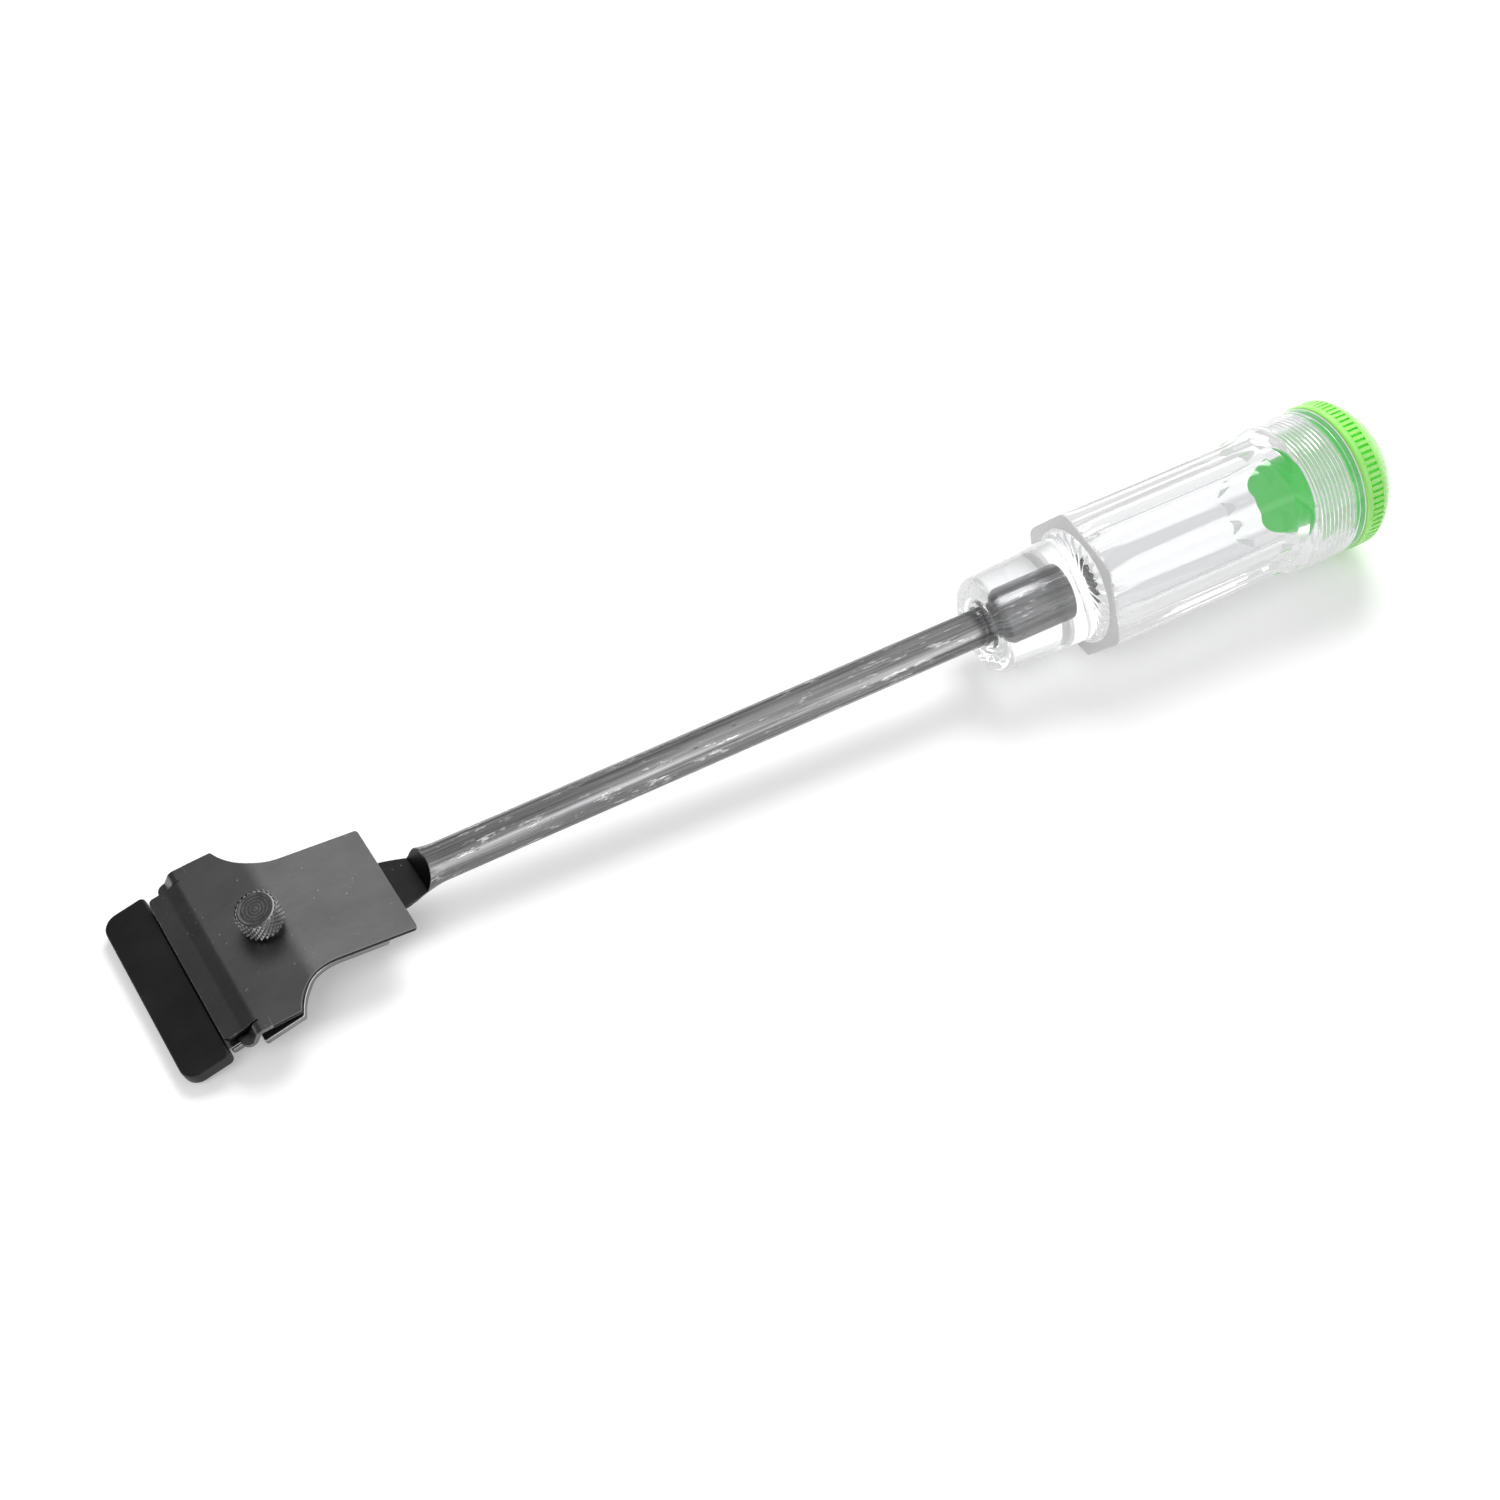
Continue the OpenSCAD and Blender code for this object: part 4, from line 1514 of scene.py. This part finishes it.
@dataclass
class ClampHead:
    """The two bent plates that hold the blade, with their rivets and nut."""

    knee_x: float = -159.7
    knee_z: float = 2.95
    lower_thick: float = 1.45
    upper_thick: float = 1.0
    lower_rear_x: float = -141.5
    lower_half: float = 13.3
    lower_front: float = 19.2
    knee_turn: float = 21.0
    knee_bend: float = 4.0
    upper_rear_x: float = -137.2
    upper_half: float = 13.6
    upper_gap: float = 0.05
    main_run: float = 11.7
    joggle_run: float = 1.5
    ear: float = 21.4
    ear_rear: float = 20.4
    waist: float = 11.5
    waist_from: float = -156.0
    lug_x: float = -172.3
    screw_x: float = -161.9
    screw_hole: float = 3.1

    def lower_line(self) -> BentLine:
        """The lower plate's side view.

        Returns:
            The bent line that the sheet follows.
        """
        a = math.radians(PITCH_REAR)
        back = self.lower_rear_x - self.knee_x
        trim = (self.knee_bend + self.lower_thick) * math.tan(math.radians(self.knee_turn / 2))
        x = self.lower_rear_x - self.lower_thick * math.sin(a)
        z = self.knee_z - back * math.tan(a) - self.lower_thick * math.cos(a)
        rear_run = (back / math.cos(a) - trim, -self.knee_turn, self.knee_bend)
        runs = [rear_run, (self.lower_front - trim, 0.0, 0.0)]
        return BentLine((x, z), PITCH_REAR, runs, self.lower_thick)

    def upper_line(self, drop: float, rise: float, radius: float) -> BentLine:
        """Lays out the upper plate's side view, which drops by a joggle to its lip or to a tab.

        Args:
            drop: Turn down into the joggle, in degrees.
            rise: Turn up out of it.
            radius: Inner radius of both bends.

        Returns:
            The side view.
        """
        a = math.radians(PITCH_REAR)
        back = self.upper_rear_x - self.knee_x
        x = self.upper_rear_x - self.upper_thick * math.sin(a) * self.upper_gap
        z = self.knee_z - back * math.tan(a) + self.upper_gap * math.cos(a)
        runs = [
            (back / math.cos(a) - 1.6, -10.0, 14.0), (self.main_run, -drop, radius),
            (self.joggle_run, rise, radius), (15.0, 0.0, 0.0),
        ]
        return BentLine((x, z), PITCH_REAR, runs, self.upper_thick)

    def plan(self, front: Sequence[Point], waist_x: float, half: float, rear: Sequence[Point]) -> list[Flat]:
        """Lays out a plate's outline seen from above.

        Args:
            front: (x, y, radius) of the corners from the middle of the front to the ear's rear.
            waist_x: Place of the middle of the waist's arc.
            half: Half the plate's width behind the waist.
            rear: The corners from behind the waist to the middle of the rear.

        Returns:
            The outline of both sides.
        """
        side = fillet(front)[2:-1]
        side += arc(waist_x, half + self.waist, self.waist, self.waist_from, -90.0, 14)
        side += fillet(rear)[1:-1]
        return side + [(x, -y) for x, y in reversed(side)]

    def upper_plan(self) -> list[Flat]:
        """The upper plate's outline seen from above, without its tabs.

        Returns:
            Its corners, in order.
        """
        rear, half = self.upper_rear_x, self.upper_half
        front = [
            (-179.5, 0.0, 0.0), (-178.84, 0.0, 0.0), (-178.84, 18.5, 1.0), (self.lug_x, 18.5, 0.3),
            (-171.9, 19.15, 0.3), (-170.2, 19.15, 0.0), (-170.2, self.ear, 0.0), (-164.4, self.ear, 0.5),
            (-164.0, self.ear_rear, 0.0),
        ]
        return self.plan(front, -153.5, half, [(-150.0, half, 0.0), (rear, half, 0.7), (rear, 0.0, 0.0)])

    def lower_plan(self) -> list[Flat]:
        """The lower plate's outline seen from above.

        Returns:
            Its corners, in order.
        """
        rear, half = self.lower_rear_x, self.lower_half
        front = [
            (-179.0, 0.0, 0.0), (-178.4, 0.0, 0.0), (-178.4, 19.1, 0.9), (-175.8, 19.1, 0.3),
            (-175.8, 18.3, 0.2), (self.lug_x, 18.3, 0.3), (self.lug_x, self.ear, 0.4),
            (-164.1, self.ear, 0.5), (-163.6, self.ear_rear, 0.0),
        ]
        back = [(-150.0, half, 0.0), (rear - 1.7, half, 0.4), (rear, half - 1.7, 0.4), (rear, 0.0, 0.0)]
        return self.plan(front, -153.0, half, back)

    def tab_plan(self, side: int) -> list[Flat]:
        """Lays out one tab, overlapping the ear's front.

        Args:
            side: 1 for the far tab, -1 for the near one.

        Returns:
            Its outline seen from above.
        """
        outer, inner, rear, front = self.ear - 0.02, 18.75, -170.0, -176.3
        half = fillet([(rear, inner, 0.0), (rear, outer, 0.0), (front, outer, 1.7), (front, inner, 0.5)])
        return [(x, side * y) for x, y in half]

    def sheet(self, line: BentLine, plan: Sequence[Flat], hole: float, edge: float) -> Solid:
        """Makes the flat sheet of one plate, ready to bend.

        Args:
            line: The plate's side view.
            plan: Its outline seen from above.
            hole: Radius of the screw's hole, or 0 for none.
            edge: Rounding of its rims.

        Returns:
            The sheet.
        """
        holes = []
        if hole:
            u = line.along(self.screw_x)
            angles = [-TAU * i / 40 for i in range(40)]
            holes = [[(u + hole * math.cos(a), hole * math.sin(a)) for a in angles]]
        return slab(line.unrolled(plan), holes, line.thick, edge)

    def build(self, plate: Material, edges: Sequence[Material], rivet: Material, nut: Material) -> None:
        """Builds the plates and dresses the rivets and the nut.

        Args:
            plate: The finish of both plates.
            edges: The finishes of the upper plate's sides, painted near black as shade; of the lower's sides,
                painted lighter as lit steel; and of the lower's upper rim, painted bright as a highlight.
            rivet: The finish of the rivets.
            nut: The finish of the nut.
        """
        # Painted light on the plate sides: shade on the upper's sides, a lit tone on the lower's sides, a
        # highlight on the lower's upper rim.
        dark, cut, rim_highlight = edges
        line = self.upper_line(25.0, 16.7, 2.0)
        solid = self.sheet(line, self.upper_plan(), self.screw_hole, 0.16)
        top = solid.piece("upper_plate_sheet", [plate, dark, plate], 28, line.cuts, lambda p: line.place(*p))
        mount(top, "clamp", "plate_steel", "upper_plate")
        tab_line = self.upper_line(60.0, 51.7, 0.6)
        for side, label in ((1, "far"), (-1, "near")):
            solid = self.sheet(tab_line, self.tab_plan(side), 0.0, 0.22)
            name = f"upper_plate_tab_{label}"
            tab = solid.piece(name, [plate, plate, plate], 28, tab_line.cuts, lambda p: tab_line.place(*p))
            mount(tab, "clamp", "plate_steel")
        low = self.lower_line()
        solid = self.sheet(low, self.lower_plan(), self.screw_hole + 0.22, 0.18)
        base = solid.piece("lower_plate_sheet", [plate, cut, rim_highlight], 28, low.cuts, lambda p: low.place(*p))
        mount(base, "tool", "plate_steel", "lower_plate")
        for node, finish in (("tang_rivet_front", rivet), ("tang_rivet_rear", rivet), ("clamp_nut", nut)):
            dress(node, finish)


@dataclass
class ThumbScrew:
    """The knurled thumb screw."""

    offset: float = 2.0
    head: float = 4.25
    low: float = 2.385
    tall: float = 5.0
    stud: float = 2.3
    stud_low: float = -5.55
    columns: int = 24
    rows: int = 7
    count: int = 96
    # (depth under the head's end, distance inside its rim) of the turned end, from the rim to the middle.
    turned_end: tuple[Flat, ...] = (
        (0.55, 0.0), (0.18, 0.22), (0.02, 0.5), (0.0, 0.62), (0.04, 0.75), (0.1, 0.95), (0.06, 1.2),
        (0.12, 1.5), (0.08, 1.8), (0.14, 2.2), (0.1, 2.7), (0.15, 3.2),
    )

    def frame_at(self, h: float) -> Matrix:
        """Places a tree's Z axis along the screw's axis.

        Args:
            h: Height over the lower plate.

        Returns:
            The place in the shared frame.
        """
        a = math.radians(PITCH_FRONT)
        x = ClampHead.knee_x - self.offset * math.cos(a) - h * math.sin(a)
        z = ClampHead.knee_z - self.offset * math.sin(a) + h * math.cos(a)
        return Matrix.Translation(row((x, 0, z))) @ Matrix.Rotation(-a, 4, "Y")

    def build(self, finish: Material, knurled: Material, threads: Material) -> None:
        """Builds the head, its knurl and the threaded stud.

        Args:
            finish: The finish of the head's turned end.
            knurled: The finish of its side.
            threads: The finish of the stud.
        """
        foot, h, r, t = self.stud_low, self.low, self.head - 0.2, self.low + self.tall
        profile: list[Flat] = [(foot, 0.3), (foot, 2.0), (foot + 0.4, self.stud), (h - 0.3, self.stud)]
        profile += [(h, 2.6), (h, r - 0.7), (h + 0.1, r - 0.45), (h + 0.45, r)]
        profile += [(t - depth, r - inwards) for depth, inwards in self.turned_end]
        profile.append((t - 0.1, 0.3))
        angles = [TAU * i / self.count for i in range(self.count)]
        solid = Solid()
        solid.loft(
            [[(q * math.cos(a), q * math.sin(a), z) for a in angles] for z, q in profile],
            [SECOND if h <= z < t - 0.3 else 0 for z, _ in profile[:-1]],
        )
        place = self.frame_at(0.0)

        def stand(p: Point) -> Vector:
            """Stands a point of the screw on its axis, in the tool's own axes."""
            return (place @ (Vector(p) * MM)) / MM - SHIFT

        head = solid.piece("thumb_screw_head", [finish, knurled], 35, shape=stand)
        mount(head, "screw", "screw_steel", "thumb_screw")
        knurl = tooth_tree(Tooth.DIAMOND).bake("thumb_screw_knurl", self.frame_at(self.low + self.tall / 2), {
            "Columns": self.columns, "Rows": self.rows, "Radius": (r - 0.02) * MM, "Row Pitch": 0.62 * MM,
            "Width": 0.52 * MM, "Length": 0.64 * MM, "Height": 0.44 * MM, "Stagger": 0.5, "Material": knurled,
        })
        mount(knurl, "screw", "screw_steel")
        turns = thread_tree().bake("thumb_screw_thread", self.frame_at(foot + 0.4), {
            "Turns": 9.0, "Radius": self.stud * MM, "Pitch": 0.8 * MM, "Ridge": 0.22 * MM,
            "Material": threads,
        })
        mount(turns, "screw", "screw_steel")


@dataclass
class EdgeGuard:
    """The moulded guard that slides over the blade's edge."""

    half: float = 21.0
    rear: float = 19.45
    front: float = 29.0
    low: float = -0.9
    thick: float = 3.0
    rear_round: float = 1.1
    front_round: float = 3.2
    rim: float = 0.45
    slot_half: float = 19.2
    slot_front: float = 27.5
    slot_low: float = 1.325
    slot_high: float = 1.675

    def place(self, p: Point) -> Point:
        """Puts a point of the guard in its place.

        Args:
            p: The point's distance in front of the knee, width and height over the guard's underside.

        Returns:
            The point in the tool's own axes.
        """
        a = math.radians(PITCH_FRONT)
        s, y, h = p[0], p[1], p[2] + self.low
        x = ClampHead.knee_x - s * math.cos(a) - h * math.sin(a)
        return x, y, ClampHead.knee_z - s * math.sin(a) + h * math.cos(a)

    def slot(self) -> bpy.types.Object:
        """Makes the block that cuts the blade's slot.

        Returns:
            The block, which stays out of the picture.
        """
        x0, x1, y = self.rear - 3, self.slot_front, self.slot_half
        around = ((x0, -y), (x1, -y), (x1, y), (x0, y))
        corners = [(x, side, z) for z in (self.slot_low, self.slot_high) for x, side in around]
        sides = [(i, (i + 1) % 4, (i + 1) % 4 + 4, i + 4) for i in range(4)]
        cutter = Solid()
        cutter.add(corners, [(3, 2, 1, 0), (4, 5, 6, 7), *sides])
        return cutter.piece("slot_cutter", [], 30, shape=self.place)

    def build(self, finish: Material) -> None:
        """Builds the guard with the slot that takes the blade.

        Args:
            finish: The guard's finish.
        """
        outline = fillet([
            (self.rear, -self.half, self.rear_round), (self.front, -self.half, self.front_round),
            (self.front, self.half, self.front_round), (self.rear, self.half, self.rear_round),
        ], 10)
        solid = slab(refined(outline, 2.0), [], self.thick, self.rim, 5)
        obj = solid.piece("edge_guard_block", [finish, finish, finish], 35, shape=self.place)
        tool = self.slot()
        cut = obj.modifiers.new("slot", "BOOLEAN")
        cut.object, cut.operation, cut.solver = tool, "DIFFERENCE", "EXACT"
        graph = bpy.context.evaluated_depsgraph_get()
        mesh = bpy.data.meshes.new_from_object(obj.evaluated_get(graph), depsgraph=graph)
        obj.modifiers.remove(cut)
        obj.data = mesh
        bpy.data.objects.remove(tool)
        mount(obj, "guard", "guard_plastic", "blade_guard")


# Studio

# Width of the camera's sensor, in millimetres, and the nearest distance that it sees, in metres.
SENSOR, NEAR = 36.0, 0.01


@dataclass
class Studio:
    """The pale floor, the soft lights, the white surroundings and the camera."""

    eye: Point = (-242.6, -304.9, 407.1)
    forward: Point = (0.3407, 0.5571, -0.7573)
    right: Point = (0.8611, -0.5083, 0.0135)
    lens: float = 64.12
    # The lowest points of the guard and of the cap, on which the tool lies.
    guard_foot: Point = (-187.33, 0, -5.96)
    cap_foot: Point = (97.1, 0, -16.95)
    floor_half: float = 1.6
    paper: tuple[Colour, Colour] = ((0.80, 0.80, 0.80), (0.82, 0.82, 0.82))
    floor_glow: float = 0.3
    far_glow: float = 0.7
    # Distances from the tool's middle between which the floor turns white, in metres.
    far: Span = (0.35, 1.2)
    ambient: float = 0.55
    # Brightness of the surroundings that metal mirrors: towards the head, overhead and towards the cap.
    low: float = 0.17
    overhead: float = 0.43
    bright: float = 1.4
    # The least brightness that is mirrored inside clear plastic.
    inside: float = 0.8

    def camera(self) -> None:
        """Sets the camera at the photographed viewing angle."""
        forward = Vector(self.forward).normalized()
        right = Vector(self.right)
        right = (right - forward * right.dot(forward)).normalized()
        up = right.cross(forward)
        data = bpy.data.cameras.new("camera")
        data.lens = self.lens
        data.sensor_width, data.clip_start = SENSOR, NEAR
        cam = bpy.data.objects.new("camera", data)
        turn = Matrix((right, up, -forward)).transposed().to_4x4()
        cam.matrix_world = Matrix.Translation(row(self.eye)) @ turn
        bpy.context.scene.collection.objects.link(cam)
        bpy.context.scene.camera = cam

    def floor(self) -> None:
        """Lays the floor under the guard's front and the cap's rim."""
        a, b = row(self.guard_foot), row(self.cap_foot)
        along = (b - a).normalized()
        normal = Vector((-along.z, 0, along.x))
        centre = (a + b) / 2
        side = self.floor_half
        signs = ((-1, -1), (1, -1), (1, 1), (-1, 1))
        corners = [centre + along * (side * i) + Vector((0, side * j, 0)) for i, j in signs]
        mesh = bpy.data.meshes.new("floor")
        mesh.from_pydata(corners, [], [(0, 1, 2, 3)])
        floor = bpy.data.objects.new("floor", mesh)
        bpy.context.scene.collection.objects.link(floor)
        desk = NodeDesk("floor_paper")
        tree = desk.tree
        desk.base(desk.blend(desk.noise((6, 6, 6), 2.0), *self.paper))
        desk.set(Roughness=1.0, Specular_IOR_Level=0.0)
        path = tree.nodes.new("ShaderNodeLightPath")
        seen = desk.math("MAXIMUM", path.outputs["Is Camera Ray"], path.outputs["Is Transmission Ray"])
        seen = desk.math("MAXIMUM", seen, path.outputs["Is Glossy Ray"])
        glow = tree.nodes.new("ShaderNodeEmission")
        reach = tree.nodes.new("ShaderNodeVectorMath")
        reach.operation = "LENGTH"
        desk.link(desk.object_coords, reach.inputs[0])
        far = desk.ranged(reach.outputs["Value"], *self.far, 0.0, self.far_glow)
        sky = desk.math("MULTIPLY", path.outputs["Is Camera Ray"], far)
        near = desk.math("MULTIPLY", seen, self.floor_glow)
        desk.link(desk.math("ADD", near, sky), glow.inputs["Strength"])
        joined = tree.nodes.new("ShaderNodeAddShader")
        desk.link(desk.shader.outputs[0], joined.inputs[0])
        desk.link(glow.outputs[0], joined.inputs[1])
        desk.link(joined.outputs[0], desk.output.inputs[0])
        mesh.materials.append(desk.material)
        log.info("floor tilts %.2f degrees", math.degrees(math.atan2(normal.x, normal.z)))

    def lamp(self, name: str, at: Point, size: float, power: float) -> None:
        """Adds a square soft light that faces the tool's middle.

        Args:
            name: The lamp's name.
            at: Its place, in metres.
            size: Its side, in metres.
            power: Its power, in watts.
        """
        data = bpy.data.lights.new(name, "AREA")
        data.shape, data.size, data.energy = "SQUARE", size, power
        obj = bpy.data.objects.new(name, data)
        obj.location = Vector(at)
        obj.rotation_euler = Vector(at).to_track_quat("Z", "Y").to_euler()
        obj.visible_glossy = False
        bpy.context.scene.collection.objects.link(obj)

    def world(self) -> None:
        """White surroundings for the camera and through clear plastic, softer for the light."""
        world = bpy.data.worlds.new("studio")
        bpy.context.scene.world = world
        world.use_nodes = True
        tree = world.node_tree
        tree.nodes.clear()
        out = tree.nodes.new("ShaderNodeOutputWorld")
        soft = tree.nodes.new("ShaderNodeBackground")
        soft.inputs["Strength"].default_value = self.ambient
        white = tree.nodes.new("ShaderNodeBackground")
        white.inputs["Color"].default_value = (1.0, 1.0, 1.0, 1.0)
        white.inputs["Strength"].default_value = 1.0
        mirror = tree.nodes.new("ShaderNodeBackground")
        coords = tree.nodes.new("ShaderNodeTexCoord")
        split = tree.nodes.new("ShaderNodeSeparateXYZ")
        tree.links.new(coords.outputs["Generated"], split.inputs[0])

        def step(operation: str, first: Socket | float, second: Socket | float) -> Socket:
            """Adds one math node.

            Args:
                operation: The node's operation.
                first: A number or socket.
                second: A number or socket.

            Returns:
                The result.
            """
            node = tree.nodes.new("ShaderNodeMath")
            node.operation = operation
            for socket, value in zip(node.inputs, (first, second)):
                if isinstance(value, float):
                    socket.default_value = value
                else:
                    tree.links.new(value, socket)
            return node.outputs[0]

        def shoulder(axis: str, low: float, high: float, rise: float) -> Socket:
            """Adds a soft step in the brightness.

            Args:
                axis: The axis that it follows.
                low: Where it starts, from -1 to 1.
                high: Where it ends.
                rise: The brightness that it adds.

            Returns:
                The brightness.
            """
            node = tree.nodes.new("ShaderNodeMapRange")
            node.interpolation_type = "SMOOTHSTEP"
            for index, value in zip(RANGE_INPUTS, (low, high, 0.0, rise)):
                node.inputs[index].default_value = value
            tree.links.new(split.outputs[axis], node.inputs[0])
            return node.outputs[0]

        middle = shoulder("X", -0.24, -0.06, self.overhead - self.low)
        rear = shoulder("X", 0.06, 0.24, self.bright - self.overhead)
        grade = step("ADD", step("ADD", middle, self.low), rear)
        near_side = step("SUBTRACT", 1.9, shoulder("Y", -0.8, -0.5, 0.9))
        sides = step("SUBTRACT", near_side, shoulder("Y", 0.7, 0.92, 0.5))
        grade = step("MULTIPLY", grade, sides)
        path = tree.nodes.new("ShaderNodeLightPath")
        inside = step("MULTIPLY", step("MINIMUM", path.outputs["Transmission Depth"], 1.0), self.inside)
        tree.links.new(step("MAXIMUM", grade, inside), mirror.inputs["Strength"])
        clear = step("MAXIMUM", path.outputs["Is Camera Ray"], path.outputs["Is Transmission Ray"])
        first = tree.nodes.new("ShaderNodeMixShader")
        tree.links.new(path.outputs["Is Glossy Ray"], first.inputs[0])
        tree.links.new(soft.outputs[0], first.inputs[1])
        tree.links.new(mirror.outputs[0], first.inputs[2])
        second = tree.nodes.new("ShaderNodeMixShader")
        tree.links.new(clear, second.inputs[0])
        tree.links.new(first.outputs[0], second.inputs[1])
        tree.links.new(white.outputs[0], second.inputs[2])
        tree.links.new(second.outputs[0], out.inputs[0])

    def build(self) -> None:
        """Sets up the whole studio."""
        bpy.context.scene.view_settings.view_transform = "Standard"
        self.camera()
        self.floor()
        self.world()
        self.lamp("key_softbox", (0.55, 0.72, 0.95), 0.7, 14.0)
        self.lamp("fill_softbox", (-0.9, -0.5, 1.1), 0.8, 5.0)


def main() -> None:
    """Builds every piece in order."""
    Studio().build()
    clear, frosted = ClearPlastic().build(), FrostedPlastic().build()
    Handle().build(clear, frosted)
    lime = GreenPlastic("lime_plastic", (0.40, 0.97, 0.21), (0.36, 0.94, 0.18)).build()
    deep = GreenPlastic("deep_green_plastic", (0.05, 0.88, 0.09), (0.035, 0.8, 0.07), 0.3, 2.5).build()
    # Painted shade: a darker green for the slots between the cap's ribs.
    shaded_groove = GreenPlastic("shaded_groove_green_plastic", (0.12, 0.96, 0.04), (0.1, 0.93, 0.03), 0.4).build()
    # Painted highlight: a pale green on the plug's thread, standing in for reflected light.
    pale = GreenPlastic("highlight_pale_green_plastic", (0.62, 0.95, 0.6), (0.54, 0.93, 0.52), 0.3, 2.5).build()
    EndCap().build(lime, shaded_groove, deep, pale)
    forged = BlackenedSteel("blackened_tang", (0.028, 0.028, 0.028), (0.06, 0.06, 0.06), 0.42).build()
    Shaft().build(DrawnSteel().build(), forged)
    plate = BlackenedSteel("blackened_plate").build()
    rivet = BlackenedSteel("blackened_rivet", (0.2, 0.2, 0.2), (0.34, 0.34, 0.34), 0.34).build()
    screw = ThumbScrew()
    centre = screw.frame_at(screw.low + screw.tall).to_translation()
    turned = TurnedSteel("turned_steel", tuple(centre), -math.radians(PITCH_FRONT)).build()
    even = (900, 900, 900)
    nut = GroundSteel("nut_nickel", (0.42, 0.42, 0.43), (0.3, 0.3, 0.31), even).build()
    edges = (
        # Painted shade: the upper plate's sides are near black, as if in shadow.
        BlackenedSteel("shaded_edge", (0.02, 0.02, 0.02), (0.05, 0.05, 0.05), 0.5).build(),
        # Painted light: the lower plate's sides are a lighter, lit copy of the plate's steel.
        BlackenedSteel("lit_side_edge", (0.2, 0.2, 0.2), (0.34, 0.34, 0.34), 0.42).build(),
        # Painted highlight: the lower plate's upper rim is bright, as if catching light.
        BlackenedSteel("painted_highlight_edge", (0.6, 0.6, 0.6), (0.8, 0.8, 0.8), 0.3).build(),
    )
    ClampHead().build(plate, edges, rivet, nut)
    knurled = BlackenedSteel("knurled_steel", (0.11, 0.11, 0.112), (0.42, 0.42, 0.42), 0.3).build()
    stud = GroundSteel("stud_nickel", (0.4, 0.4, 0.41), (0.25, 0.25, 0.26), even).build()
    screw.build(turned, knurled, stud)
    EdgeGuard().build(BlackPlastic("black_plastic").build())
    dress("blade", GroundSteel("blade_steel").build())
    blued = GroundSteel("spine_steel", (0.2, 0.22, 0.27), (0.12, 0.13, 0.17), (4000, 200, 200)).build()
    dress("blade_spine", blued)


if __name__ == "__main__":
    main()
